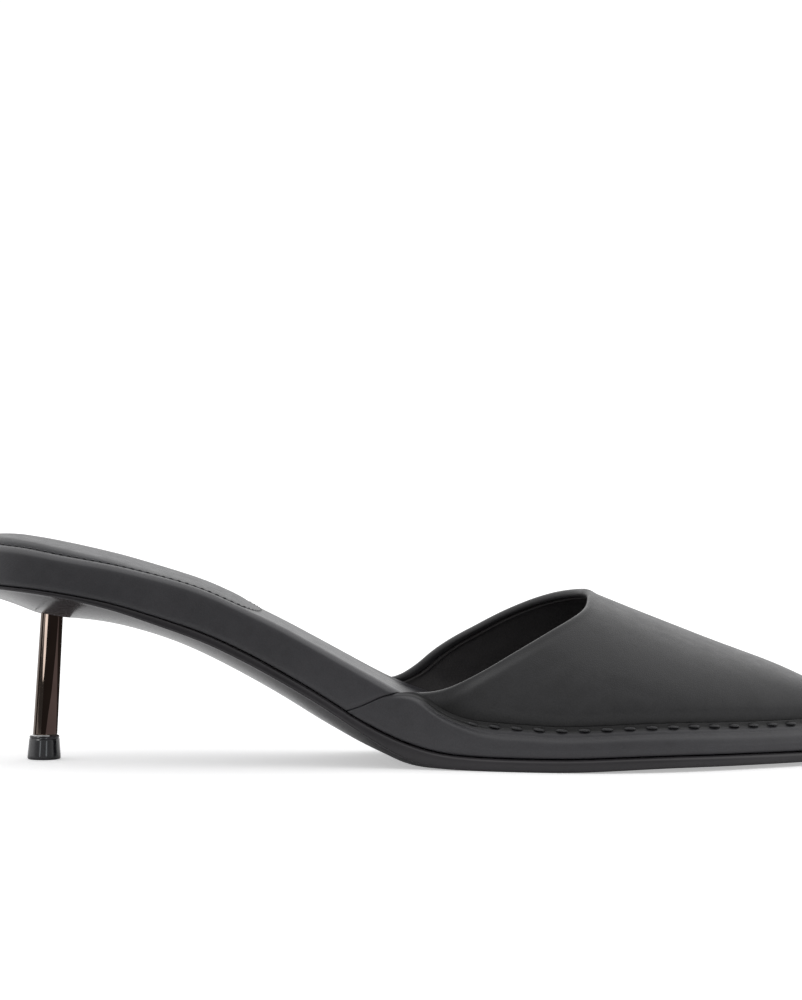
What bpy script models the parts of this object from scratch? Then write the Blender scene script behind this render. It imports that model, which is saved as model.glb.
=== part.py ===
"""Pointed mule on a thin kitten heel, right foot.

+X points to the toe, -Y is the outer (lateral) side, +Z is up, and the origin is
at the bottom centre of the whole shoe.  The design below works in millimetres,
with s measured forward from the back of the heel, and meshes are made in metres.
"""

import math

import bmesh
import bpy
import numpy as np
from mathutils import Matrix, Vector

# ---------------------------------------------------------------- driving sizes (mm)
LENGTH = 264.0          # back of heel to tip of toe, wrapped wall
GAP = 0.3               # room between pieces that meet
SOLE_PROUD = 0.5        # outsole edge beyond the wall at the forepart
RAND_T = 2.8            # thickness of the rand strip
SEAM_IN = 3.2           # outer face of the vamp, in from the wall face
UPPER_T = 1.6           # wall of the vamp
FOOTBED_IN = 5.15       # edge of the footbed inside the vamp, in from the wall face
SOCK_IN = 3.9           # edge of the heel pad, in from the wall face
SOCK_RECESS = 1.0       # depth of the heel pad's seat
SOCK_FRONT = 84.0       # front end of the heel pad
PIN_FOOT = 24.3         # where the pin's axis meets the floor
PIN_LEAN = 0.0597       # forward lean of the pin, mm per mm of height
PIN_R_LOW, PIN_R_TOP = 3.48, 3.12
PIN_TOP = 45.6          # end of the pin inside the outsole
LIFT_H = 6.8
LIFT_R_LOW, LIFT_R_TOP = 4.75, 4.28
SEG = 40                # stations along each side of a sole-shaped piece
STRIP = 36              # stations along each side of a band round the forepart
RAND_REAR = 112.2       # where the rand starts, lateral side

# Plan outline of the wrapped wall: distance from the back of the heel, and the
# half widths to the lateral and the medial side of the long axis.
OUTLINE = [
    # s,    lateral, medial
    (2.2, 10.5, 10.5),
    (8.0, 19.3, 19.0),
    (16.0, 25.0, 24.6),
    (26.0, 28.4, 27.9),
    (38.0, 29.6, 29.0),
    (52.0, 29.2, 28.2),
    (70.0, 27.9, 25.8),
    (90.0, 26.9, 23.4),
    (108.0, 27.2, 23.0),
    (124.0, 29.0, 25.2),
    (140.0, 33.0, 30.0),
    (156.0, 37.6, 36.0),
    (170.0, 40.4, 39.9),
    (184.0, 41.0, 41.4),
    (198.0, 38.8, 40.6),
    (212.0, 34.0, 37.2),
    (226.0, 27.3, 32.0),
    (238.0, 20.8, 26.2),
    (248.0, 14.8, 20.4),
    (256.0, 9.2, 14.9),
    (261.4, 3.9, 9.7),
]
HEEL_END = (0.0, 0.0)
TOE_END = (264.0, 3.0)

# Heights along the shoe: underside on the centre line, bottom edge of the wrapped
# wall, thickness of the outsole's edge, rim of the footbed, and how much lower
# (minus) the rim is on the medial side than on the lateral side.
HEIGHTS = [
    # s,   ground, wall_low, sole_edge, rim,  cant
    (0.0, 44.8, 51.3, 1.0, 62.5, 0.0),
    (11.9, 44.6, 50.9, 1.0, 61.9, 0.0),
    (17.6, 43.6, 50.5, 1.1, 61.5, 0.0),
    (23.3, 41.5, 50.0, 1.2, 60.7, 0.0),
    (30.0, 40.5, 49.1, 1.3, 59.4, 0.0),
    (37.5, 40.0, 47.8, 1.5, 58.1, -0.2),
    (46.0, 38.7, 46.0, 1.8, 56.6, -0.5),
    (54.0, 36.7, 43.6, 2.1, 54.7, -0.7),
    (63.0, 33.7, 40.7, 2.4, 52.4, -1.0),
    (70.5, 30.4, 38.1, 2.6, 50.0, -1.1),
    (81.6, 24.7, 33.1, 2.9, 45.0, -1.2),
    (92.7, 18.4, 27.1, 3.0, 39.6, -1.2),
    (103.8, 11.5, 20.6, 3.1, 33.5, -1.1),
    (109.4, 8.3, 17.0, 3.2, 30.3, -1.1),
    (115.0, 5.2, 13.4, 3.4, 27.2, -1.2),
    (120.5, 2.8, 10.4, 3.8, 24.1, -1.2),
    (126.0, 1.1, 7.9, 4.3, 21.0, -0.8),
    (131.6, 0.25, 6.0, 4.6, 18.3, -0.4),
    (137.0, 0.0, 4.7, 4.2, 15.9, -0.1),
    (142.6, 0.0, 4.1, 3.8, 13.8, 0.0),
    (150.0, 0.0, 3.8, 3.6, 11.7, 0.0),
    (158.0, 0.0, 3.7, 3.5, 10.1, 0.0),
    (166.0, 0.0, 3.7, 3.5, 9.2, 0.0),
    (174.0, 0.0, 3.8, 3.5, 8.7, 0.0),
    (186.0, 0.65, 4.2, 3.4, 8.6, 0.0),
    (200.0, 1.1, 4.45, 3.2, 8.9, 0.0),
    (220.0, 1.1, 4.3, 3.05, 9.1, 0.0),
    (240.0, 1.1, 4.1, 2.85, 9.2, 0.0),
    (264.0, 1.6, 4.5, 2.75, 9.6, 0.0),
]

# Top of the rand on the lateral side.  It rises out of the sole's edge along the
# slanting rear seam, and from 132 on it is the crease where the vamp goes in.
RAND_TOP = [
    # s,    z
    (112.2, 16.2),
    (115.0, 17.2),
    (117.7, 18.4),
    (120.5, 19.7),
    (123.4, 20.7),
    (126.0, 21.3),
    (128.5, 21.5),
    (130.5, 21.1),
    (132.2, 20.1),
    (134.3, 18.5),
    (137.0, 16.7),
    (140.0, 15.3),
    (142.6, 14.5),
    (145.4, 13.9),
    (149.0, 13.5),
    (154.0, 13.2),
    (160.0, 12.9),
    (170.0, 12.5),
    (181.0, 12.8),
    (192.0, 13.2),
    (203.0, 13.3),
    (226.0, 12.9),
    (264.0, 12.8),
]
MEDIAL_BACK = 6.0       # how much further back the rand and throat start on the medial side
MEDIAL_LIFT = 3.9       # how much higher the rand starts there

# The vamp's crest from the instep to the nose (its height and its place across).
# Behind 180 it only shapes the sides, because the throat is cut away there.
CREST = [
    # s,    z,    y
    (118.0, 66.0, 6.0),
    (130.0, 63.4, 5.8),
    (145.0, 59.9, 5.3),
    (160.0, 55.4, 4.8),
    (172.0, 51.0, 4.4),
    (180.4, 47.7, 4.2),
    (189.0, 44.2, 4.0),
    (200.4, 39.7, 3.8),
    (211.9, 35.2, 3.5),
    (223.3, 30.6, 3.3),
    (234.8, 25.9, 3.1),
    (243.0, 21.9, 3.0),
    (252.0, 17.0, 3.0),
]
NOSE_FRONT = 252.0      # where the crest turns down into the nose

# Throat edge seen from the side, lateral and medial.
THROAT_LATERAL = [
    # s,    z
    (126.0, 17.0),
    (128.2, 20.6),
    (130.2, 21.6),
    (132.9, 21.7),
    (135.7, 22.1),
    (138.4, 22.9),
    (141.2, 24.1),
    (145.4, 26.3),
    (151.0, 29.4),
    (156.7, 32.7),
    (162.4, 35.9),
    (168.1, 39.0),
    (174.0, 42.0),
    (176.9, 43.6),
    (178.7, 45.0),
    (179.6, 46.4),
    (180.2, 48.5),
    (181.0, 54.0),
]
THROAT_MEDIAL = [
    # s,    z
    (120.0, 17.0),
    (122.0, 21.9),
    (124.0, 22.4),
    (126.0, 23.4),
    (128.9, 25.6),
    (131.9, 28.3),
    (134.8, 30.3),
    (140.6, 33.6),
    (149.4, 38.2),
    (155.2, 41.1),
    (160.9, 43.6),
    (166.5, 45.7),
    (172.1, 47.3),
    (176.3, 48.0),
    (178.8, 48.3),
    (180.2, 49.2),
    (181.0, 54.0),
]


# ---------------------------------------------------------------- curves from the tables
def column(table, k):
    """Smooth value of column k against s, never past its rows' values."""
    xs = np.array([row[0] for row in table], float)
    ys = np.array([row[k] for row in table], float)
    h = np.diff(xs)
    d = np.diff(ys) / h
    m = np.zeros(len(xs))
    for i in range(1, len(xs) - 1):
        if d[i - 1] * d[i] > 0:
            a, b = 2 * h[i] + h[i - 1], h[i] + 2 * h[i - 1]
            m[i] = (a + b) / (a / d[i - 1] + b / d[i])
    m[0], m[-1] = d[0], d[-1]

    def value(x):
        x = np.clip(x, xs[0], xs[-1])
        i = np.clip(np.searchsorted(xs, x, side="right") - 1, 0, len(h) - 1)
        t = (x - xs[i]) / h[i]
        return (
            (1 + 2 * t) * (1 - t) ** 2 * ys[i]
            + t * (1 - t) ** 2 * h[i] * m[i]
            + t * t * (3 - 2 * t) * ys[i + 1]
            + t * t * (t - 1) * h[i] * m[i + 1]
        )

    return value


ground, wall_low, sole_edge, rim, cant = (column(HEIGHTS, k) for k in range(1, 6))
rand_top_lateral = column(RAND_TOP, 1)
crest_z, crest_y = column(CREST, 1), column(CREST, 2)
throat = {-1: column(THROAT_LATERAL, 1), 1: column(THROAT_MEDIAL, 1)}


def smooth(a, b, x):
    t = np.clip((x - a) / (b - a), 0.0, 1.0)
    return t * t * (3 - 2 * t)


def rand_top(s, side):
    """Medial side: the same line, further back at its rear end, where the sole's edge is higher."""
    if side > 0:
        lift = MEDIAL_LIFT * (1 - smooth(106.0, 124.0, s))
        return rand_top_lateral(s + MEDIAL_BACK * (1 - smooth(132.0, 168.0, s))) + lift
    return rand_top_lateral(s)


def closed_curve(points, per_span=24):
    """Centripetal Catmull-Rom curve through a closed ring of points."""
    p = np.array(points, float)
    n = len(p)
    out = []
    for i in range(n):
        p0, p1, p2, p3 = p[i - 1], p[i], p[(i + 1) % n], p[(i + 2) % n]
        t0 = 0.0
        t1 = t0 + np.linalg.norm(p1 - p0) ** 0.5
        t2 = t1 + np.linalg.norm(p2 - p1) ** 0.5
        t3 = t2 + np.linalg.norm(p3 - p2) ** 0.5
        for k in range(per_span):
            t = t1 + (t2 - t1) * k / per_span
            a1 = (t1 - t) / (t1 - t0) * p0 + (t - t0) / (t1 - t0) * p1
            a2 = (t2 - t) / (t2 - t1) * p1 + (t - t1) / (t2 - t1) * p2
            a3 = (t3 - t) / (t3 - t2) * p2 + (t - t2) / (t3 - t2) * p3
            b1 = (t2 - t) / (t2 - t0) * a1 + (t - t0) / (t2 - t0) * a2
            b2 = (t3 - t) / (t3 - t1) * a2 + (t - t1) / (t3 - t1) * a3
            out.append((t2 - t) / (t2 - t1) * b1 + (t - t1) / (t2 - t1) * b2)
    return np.array(out)


PER_SPAN = 24
RING = closed_curve(
    [HEEL_END]
    + [(s, -lat) for s, lat, med in OUTLINE]
    + [TOE_END]
    + [(s, med) for s, lat, med in reversed(OUTLINE)],
    PER_SPAN,
)
TIP_INDEX = PER_SPAN * (len(OUTLINE) + 1)
_tangent = np.roll(RING, -1, 0) - np.roll(RING, 1, 0)
_tangent /= np.linalg.norm(_tangent, axis=1)[:, None]
INWARD = np.column_stack([-_tangent[:, 1], _tangent[:, 0]])

# The two sides of the outline, heel to toe, each with its own running length.
SIDE = {}
for _side, _index in (
    (-1, list(range(0, TIP_INDEX + 1))),
    (1, [0] + list(range(len(RING) - 1, TIP_INDEX - 1, -1))),
):
    _p, _n = RING[_index], INWARD[_index]
    _len = np.concatenate([[0], np.cumsum(np.linalg.norm(np.diff(_p, axis=0), axis=1))])
    SIDE[_side] = (_p, _n, _len / _len[-1])


def outline_point(side, t, inset):
    """Point of the outline at part t of its length from heel (0) to toe (1)."""
    p, n, f = SIDE[side]
    x = np.interp(t, f, p[:, 0]) + inset * np.interp(t, f, n[:, 0])
    y = np.interp(t, f, p[:, 1]) + inset * np.interp(t, f, n[:, 1])
    return np.array([x, y])


def length_at(side, s):
    """Part of the side's length at distance s from the heel."""
    p, n, f = SIDE[side]
    return float(np.interp(s, p[:, 0], f))


def spread(u, k=0.75):
    """Even steps u made closer together at both ends."""
    return u - k * math.sin(2 * math.pi * u) / (2 * math.pi)


# How close the stations of a sole-shaped piece lie along its side.
CLOSENESS = [
    # part of length, closeness
    (0.0, 3.0),
    (0.08, 2.0),
    (0.17, 1.0),
    (0.36, 1.1),
    (0.42, 2.0),
    (0.55, 1.8),
    (0.62, 1.0),
    (0.88, 1.0),
    (0.96, 2.4),
    (1.0, 3.4),
]


def sole_stations(count):
    """count + 1 stations from heel to toe, close where the shape turns."""
    u = np.linspace(0, 1, 2001)
    weight = np.interp(u, [r[0] for r in CLOSENESS], [r[1] for r in CLOSENESS])
    run = np.concatenate([[0], np.cumsum(0.5 * (weight[1:] + weight[:-1]))])
    return [float(t) for t in np.interp(np.linspace(0, run[-1], count + 1), run, u)]


# ---------------------------------------------------------------- mesh helpers
def to_object(bm, name, material, collection, parent, flat=40.0):
    bmesh.ops.recalc_face_normals(bm, faces=bm.faces)
    for v in bm.verts:
        v.co *= 0.001
    mesh = bpy.data.meshes.new(name)
    bm.to_mesh(mesh)
    bm.free()
    obj = bpy.data.objects.new(name, mesh)
    collection.objects.link(obj)
    obj.parent = parent
    mesh.shade_smooth()
    mesh.set_sharp_from_angle(angle=math.radians(flat))
    if material:
        mesh.materials.append(material)
    return obj


def sole_solid(stations, spine, rows):
    """Closed sole-shaped solid.

    rows run from the middle of the underside out round the edge to the middle of
    the top: each is (inset, share of the way in to the spine, height function of
    point, side and that share).  The first and last rows lie on the spine.
    """
    bm = bmesh.new()
    front, back = spine
    grid = []
    for inset, share, height in rows:
        line = {}
        for side in (-1, 1):
            for j in range(len(stations)):
                if side > 0 and j in (0, len(stations) - 1):
                    line[side, j] = line[-1, j]
                    continue
                if side > 0 and share >= 1.0:
                    line[side, j] = line[-1, j]
                    continue
                t = stations[j]
                xy = outline_point(side, t, inset(t, side))
                mid = 0.5 * (outline_point(-1, t, inset(t, -1)) + outline_point(1, t, inset(t, 1)))
                hub = np.array([back + (front - back) * j / (len(stations) - 1), 0.0])
                hub[0] = min(max(mid[0], back), front) * 0.5 + hub[0] * 0.5
                near = outline_point(-1, length_at(-1, hub[0]), 0)
                far = outline_point(1, length_at(1, hub[0]), 0)
                hub[1] = 0.5 * (near[1] + far[1])
                xy = xy + (hub - xy) * share
                line[side, j] = bm.verts.new((xy[0], xy[1], height(xy[0], xy[1], side, share)))
        grid.append(line)
    n = len(stations) - 1
    for a, b in zip(grid, grid[1:]):
        for side in (-1, 1):
            for j in range(n):
                quad = [a[side, j], a[side, j + 1], b[side, j + 1], b[side, j]]
                ring = [v for i, v in enumerate(quad) if v is not quad[i - 1]]
                if len(set(ring)) >= 3:
                    bm.faces.new(ring)
    return bm


def strip_solid(stations, profile):
    """Closed solid band: profile(t, side) gives its section at each (t, side)."""
    bm = bmesh.new()
    loops = []
    for t, side in stations:
        loops.append([bm.verts.new(p) for p in profile(t, side)])
    for a, b in zip(loops, loops[1:]):
        for k in range(len(a)):
            m = (k + 1) % len(a)
            bm.faces.new((a[k], a[m], b[m], b[k]))
    bm.faces.new(loops[0])
    bm.faces.new(list(reversed(loops[-1])))
    return bm


def round_the_toe(rear_lateral, rear_medial, count):
    """Stations from the lateral rear round the toe to the medial rear."""
    out = []
    for side, rear in ((-1, rear_lateral), (1, rear_medial)):
        t0 = length_at(side, rear)
        half = [spread(k / count, 0.62) for k in range(count + 1)]
        run = [(t0 + (1 - t0) * h, side) for h in half]
        out += run if side < 0 else list(reversed(run))[1:]
    return out


def subtract(obj, cutter):
    cut = obj.modifiers.new("cut_" + cutter.name, "BOOLEAN")
    cut.operation = "DIFFERENCE"
    cut.solver = "EXACT"
    cut.object = cutter


# ---------------------------------------------------------------- pieces
def make_outsole(material, parts, root):
    stations = sole_stations(SEG)

    def proud(t, side):
        return -SOLE_PROUD * smooth(95.0, 140.0, outline_point(side, t, 0)[0])

    def under(drop):
        def height(x, y, side, share):
            edge = wall_low(x) - 0.15 - sole_edge(x) - drop
            belly = edge + drop - ground(x)
            tread = smooth(112.0, 137.0, x)
            rise = (1 - tread) * (1 - share) ** 2 + tread * max(0.0, 1 - share / 0.2) ** 2
            return edge - (belly - drop) * (1 - rise)
        return height

    def upper_face(x, y, side, share):
        return wall_low(x) - 0.15

    rows = [
        (proud, 1.0, under(0.0)),
        (proud, 0.72, under(0.0)),
        (proud, 0.45, under(0.0)),
        (proud, 0.22, under(0.0)),
        (proud, 0.08, under(0.0)),
        (proud, 0.0, under(-0.15)),
        (proud, 0.0, upper_face),
        (proud, 0.5, upper_face),
        (proud, 1.0, upper_face),
    ]
    bm = sole_solid(stations, (232.0, 22.0), rows)
    return to_object(bm, "outsole", material, parts, root)


def make_platform(material, parts, root, cutters):
    stations = sole_stations(SEG)

    def inset(d):
        return lambda t, side: d

    def low(lift):
        return lambda x, y, side, share: wall_low(x) + 0.15 + lift

    def top(drop, recess=0.0):
        def height(x, y, side, share):
            tilt = cant(x) * 0.5 * (side * (1 - share) + 1)
            seat = recess * (1 - smooth(SOCK_FRONT + 9.0, SOCK_FRONT + 17.0, x))
            return rim(x) + tilt - drop - seat
        return height

    rows = [
        (inset(0.6), 1.0, low(0.0)),
        (inset(0.6), 0.5, low(0.0)),
        (inset(0.6), 0.0, low(0.0)),
        (inset(0.0), 0.0, low(0.6)),
        (inset(0.0), 0.0, top(2.0)),
        (inset(0.55), 0.0, top(0.75)),
        (inset(1.25), 0.0, top(0.16)),
        (inset(2.2), 0.0, top(0.0)),
        (inset(3.25), 0.0, top(0.0)),
        (inset(3.5), 0.0, top(0.0, SOCK_RECESS)),
        (inset(3.5), 0.5, top(0.0, SOCK_RECESS)),
        (inset(3.5), 1.0, top(0.0, SOCK_RECESS)),
    ]
    bm = sole_solid(stations, (232.0, 22.0), rows)
    obj = to_object(bm, "platform", material, parts, root)

    # Seat of the rand: a band cut out of the wall, open above once the rim has
    # come down to the rand's own height.
    def rand_seat(t, side):
        x = outline_point(side, t, 0)[0]
        back = MEDIAL_BACK if side > 0 else 0.0
        z1 = rand_top(x, side) + GAP if x < 124.3 - back else 30.0
        z0 = wall_low(x) - 3.0
        ring = []
        for d, z in ((-3.0, z0), (SEAM_IN - 0.1, z0), (SEAM_IN - 0.1, z1), (-3.0, z1)):
            px, py = outline_point(side, t, d)
            ring.append((px, py, z))
        return ring

    def vamp_seat(t, side):
        x = outline_point(side, t, 0)[0]
        ring = []
        z0 = wall_low(x) - 3.0
        for d, z in ((-3.5, z0), (FOOTBED_IN, z0), (FOOTBED_IN, 31.0), (-3.5, 31.0)):
            px, py = outline_point(side, t, d)
            ring.append((px, py, z))
        return ring

    def with_step(step):
        """The rand's stations, with a close pair on each side where the seat's height jumps."""
        base = round_the_toe(RAND_REAR, RAND_REAR - MEDIAL_BACK, STRIP)
        base[0] = (length_at(-1, RAND_REAR - GAP), -1)
        base[-1] = (length_at(1, RAND_REAR - MEDIAL_BACK - GAP), 1)
        extra = []
        for side, at in ((-1, step), (1, step - MEDIAL_BACK)):
            extra += [(length_at(side, at - 0.02), side), (length_at(side, at + 0.02), side)]
        lat = sorted(p for p in base + extra if p[1] < 0)
        med = sorted((p for p in base + extra if p[1] > 0), reverse=True)
        return lat + med

    for name, stations, profile in (
        ("rand_seat", with_step(124.3), rand_seat),
        ("vamp_seat", round_the_toe(127.0, 120.6, STRIP), vamp_seat),
    ):
        cutter = to_object(strip_solid(stations, profile), name, None, cutters, root)
        cutter.hide_render = True
        cutter.display_type = "WIRE"
        subtract(obj, cutter)
    return obj


def make_rand(material, parts, root):
    stations = round_the_toe(RAND_REAR, RAND_REAR - MEDIAL_BACK, STRIP)

    def profile(t, side):
        x = outline_point(side, t, 0)[0]
        low = wall_low(x) + 0.15
        high = rand_top(x, side)
        # Flush with the wall at the rear, then a stitched edge standing on a shoulder.
        rear = x + (MEDIAL_BACK * (1 - smooth(132.0, 168.0, x)) if side > 0 else 0.0)
        b = smooth(120.5, 134.0, rear)
        drop = min(2.1 + 3.3 * b, 0.75 * (high - low))
        ring = []
        for d, z in (
            (RAND_T, low),
            (0.5, low),
            (0.0, low + 0.25 * min(drop, 2.1)),
            (0.0, high - drop),
            (0.45 + 0.05 * b, high - (0.45 + 0.31 * b) * drop),
            (1.15 + 0.35 * b, high - (0.14 + 0.46 * b) * drop),
            (2.0 + 0.2 * b, high - 0.08 * b * drop),
            (RAND_T, high - 0.05 * (1 - b) * drop),
        ):
            px, py = outline_point(side, t, d)
            ring.append((px, py, z))
        return ring

    return to_object(strip_solid(stations, profile), "rand", material, parts, root)


def vamp_point(side, t, v):
    """Outer face of the vamp: v is 0 at the crease and 1 on the crest."""
    base = outline_point(side, t, SEAM_IN)
    pull = smooth(205.0, LENGTH - SEAM_IN, base[0])
    top_s = base[0] - (LENGTH - SEAM_IN - NOSE_FRONT) * pull
    top = np.array([top_s, float(crest_y(top_s))])
    low, high = float(rand_top(base[0], side)) - 0.3, float(crest_z(top_s))
    angle = 0.5 * math.pi * v
    part_in = 1 - math.cos(angle) ** 1.05
    part_up = math.sin(angle) ** 0.97
    xy = base + (top - base) * part_in
    return xy[0], xy[1], low + (high - low) * part_up


def throat_at(side, v):
    """Part of the side's length where the vamp at v meets the throat edge."""
    lo, hi = length_at(side, 121.0 if side > 0 else 127.0), length_at(side, 196.0)
    for _ in range(50):
        mid = 0.5 * (lo + hi)
        x, y, z = vamp_point(side, mid, v)
        if z > throat[side](x) or x < (121.0 if side > 0 else 127.0):
            lo = mid
        else:
            hi = mid
    return 0.5 * (lo + hi)


def make_upper(material, parts, root):
    along, around = 26, 11
    bm = bmesh.new()
    steps = [spread(i / along, 0.55) for i in range(along + 1)]
    grid = {}
    for side in (-1, 1):
        for j in range(around + 1):
            v = j / around
            t0 = throat_at(side, v)
            for i, g in enumerate(steps):
                if side > 0 and (j == around or i == along):
                    grid[side, j, i] = grid[-1, j, i]
                    continue
                t = t0 + (1 - t0) * g
                grid[side, j, i] = bm.verts.new(vamp_point(side, t, v))
        # The lasting allowance goes straight down behind the rand to the outsole.
        t0 = throat_at(side, 0.0)
        for k in (1, 2):
            for i, g in enumerate(steps):
                if side > 0 and i == along:
                    grid[side, -k, i] = grid[-1, -k, i]
                    continue
                t = t0 + (1 - t0) * g
                x, y, z = vamp_point(side, t, 0.0)
                low = float(wall_low(x)) + 0.5
                grid[side, -k, i] = bm.verts.new((x, y, z + (low - z) * k / 2))
    for side in (-1, 1):
        for j in range(-2, around):
            for i in range(along):
                quad = [grid[side, j, i], grid[side, j, i + 1], grid[side, j + 1, i + 1], grid[side, j + 1, i]]
                if side > 0:
                    quad.reverse()
                bm.faces.new(quad)
    for v in bm.verts:
        v.co *= 0.001
    mesh = bpy.data.meshes.new("upper")
    bm.to_mesh(mesh)
    bm.free()
    obj = bpy.data.objects.new("upper", mesh)
    parts.objects.link(obj)
    obj.parent = root
    mesh.materials.append(material)
    mesh.shade_smooth()
    shell = obj.modifiers.new("wall", "SOLIDIFY")
    shell.thickness = UPPER_T * 0.001
    shell.offset = -1.0
    shell.use_even_offset = True
    shell.use_quality_normals = True
    return obj


def make_insole(material, parts, root):
    """Heel pad: crowned at the heel, thin at its round front end."""
    count = 18
    last = {side: length_at(side, 77.0) for side in (-1, 1)}

    def place(side, j, inset, share):
        """Edge point j of the pad: along the rim, then round its front."""
        u = j / count
        spine_x = 20.0 + (78.0 - 20.0) * u
        if u <= 0.8:
            k = u / 0.8
            t = last[side] * (0.35 * k + 0.65 * k * k)
            xy = outline_point(side, t, inset)
        else:
            k = (u - 0.8) / 0.2
            corner = outline_point(side, last[side], inset)
            mid_y = 0.5 * (outline_point(-1, last[-1], inset)[1] + outline_point(1, last[1], inset)[1])
            a = 0.5 * math.pi * k
            reach = SOCK_FRONT + 4.0 - inset - corner[0]
            xy = np.array([
                corner[0] + reach * math.sin(a),
                mid_y + (corner[1] - mid_y) * math.cos(a) ** 0.8,
            ])
        hub = np.array([spine_x, 0.5 * (outline_point(-1, length_at(-1, spine_x), 0)[1]
                                       + outline_point(1, length_at(1, spine_x), 0)[1])])
        return xy + (hub - xy) * share

    def seat(x, side, share):
        tilt = cant(x) * 0.5 * (side * (1 - share) + 1)
        recess = SOCK_RECESS - 0.1
        return rim(x) + tilt - recess

    def crown(x):
        return 0.55 + 1.3 * (1 - smooth(16.0, 62.0, x))

    rows = [
        (SOCK_IN + 0.3, 1.0, lambda x, side, share: seat(x, side, share) + GAP),
        (SOCK_IN + 0.3, 0.5, lambda x, side, share: seat(x, side, share) + GAP),
        (SOCK_IN + 0.3, 0.0, lambda x, side, share: seat(x, side, share) + GAP),
        (SOCK_IN, 0.0, lambda x, side, share: seat(x, side, share) + GAP + 0.35),
        (SOCK_IN + 0.5, 0.0, lambda x, side, share: seat(x, side, share) + GAP + 0.95),
        (SOCK_IN + 1.6, 0.0, lambda x, side, share: seat(x, side, share) + 1.35 + 0.35 * crown(x)),
        (SOCK_IN + 1.6, 0.35, lambda x, side, share: seat(x, side, share) + 1.35 + 0.85 * crown(x)),
        (SOCK_IN + 1.6, 1.0, lambda x, side, share: seat(x, side, share) + 1.35 + crown(x)),
    ]
    bm = bmesh.new()
    grid = []
    for inset, share, height in rows:
        line = {}
        for side in (-1, 1):
            for j in range(count + 1):
                if side > 0 and (j in (0, count) or share >= 1.0):
                    line[side, j] = line[-1, j]
                    continue
                x, y = place(side, j, inset, share)
                line[side, j] = bm.verts.new((x, y, height(x, side, share)))
        grid.append(line)
    for a, b in zip(grid, grid[1:]):
        for side in (-1, 1):
            for j in range(count):
                quad = [a[side, j], a[side, j + 1], b[side, j + 1], b[side, j]]
                ring = [v for i, v in enumerate(quad) if v is not quad[i - 1]]
                if len(set(ring)) >= 3:
                    bm.faces.new(ring)
    return to_object(bm, "insole", material, parts, root)


def make_heel(pin_material, lift_material, parts, root, cutters, outsole):
    """Leaning pin, its top in a blind hole of the outsole, on a flared top lift."""
    low = LIFT_H + GAP + 0.25
    foot = Vector((PIN_FOOT + PIN_LEAN * low, 0.0, low))
    head = Vector((PIN_FOOT + PIN_LEAN * PIN_TOP, 0.0, PIN_TOP))
    axis = head - foot
    turn = Vector((0, 0, 1)).rotation_difference(axis).to_matrix().to_4x4()

    def cone(name, r1, r2, start, end, material, collection, bevel):
        bm = bmesh.new()
        bmesh.ops.create_cone(
            bm, cap_ends=True, segments=32, radius1=r1, radius2=r2, depth=(end - start).length,
            matrix=Matrix.Translation((start + end) / 2) @ turn,
        )
        obj = to_object(bm, name, material, collection, root)
        if bevel:
            edge = obj.modifiers.new("edge", "BEVEL")
            edge.width = bevel * 0.001
            edge.segments = 2
            edge.limit_method = "ANGLE"
            edge.angle_limit = math.radians(50)
        return obj

    pin = cone("heel_pin", PIN_R_LOW, PIN_R_TOP, foot, head, pin_material, parts, 0.3)
    hole = cone("pin_hole", PIN_R_TOP + 0.35 + 0.2, PIN_R_TOP + 0.32, head - axis.normalized() * 20,
                head + axis.normalized() * GAP, None, cutters, 0)
    hole.hide_render = True
    hole.display_type = "WIRE"
    subtract(outsole, hole)

    # Top lift: a turned profile, outer side first from top to bottom.
    profile = [
        (0.0, LIFT_H), (LIFT_R_TOP - 0.75, LIFT_H), (LIFT_R_TOP - 0.2, LIFT_H - 0.2),
        (LIFT_R_TOP, LIFT_H - 0.75), (LIFT_R_LOW - 0.06, 1.0), (LIFT_R_LOW, 0.35),
        (LIFT_R_LOW - 0.1, 0.1), (LIFT_R_LOW - 0.35, 0.0), (0.0, 0.0),
    ]
    mesh = bpy.data.meshes.new("top_lift")
    mesh.from_pydata([(x * 0.001, 0.0, z * 0.001) for x, z in profile],
                     [(i, i + 1) for i in range(len(profile) - 1)], [])
    lift = bpy.data.objects.new("top_lift", mesh)
    parts.objects.link(lift)
    lift.parent = root
    lift.location = ((PIN_FOOT + 0.1) * 0.001, 0.0, 0.0)
    mesh.materials.append(lift_material)
    turned = lift.modifiers.new("turned", "SCREW")
    turned.angle = 2 * math.pi
    turned.steps = 32
    turned.render_steps = 32
    turned.use_merge_vertices = True
    turned.merge_threshold = 0.00001
    turned.use_smooth_shade = True
    return pin, lift


def principled(name, colour, roughness, metallic=0.0):
    material = bpy.data.materials.new(name)
    material.use_nodes = True
    shader = material.node_tree.nodes["Principled BSDF"]
    shader.inputs["Base Color"].default_value = (*colour, 1.0)
    shader.inputs["Roughness"].default_value = roughness
    shader.inputs["Metallic"].default_value = metallic
    material.diffuse_color = (*colour, 1.0)
    return material


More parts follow.
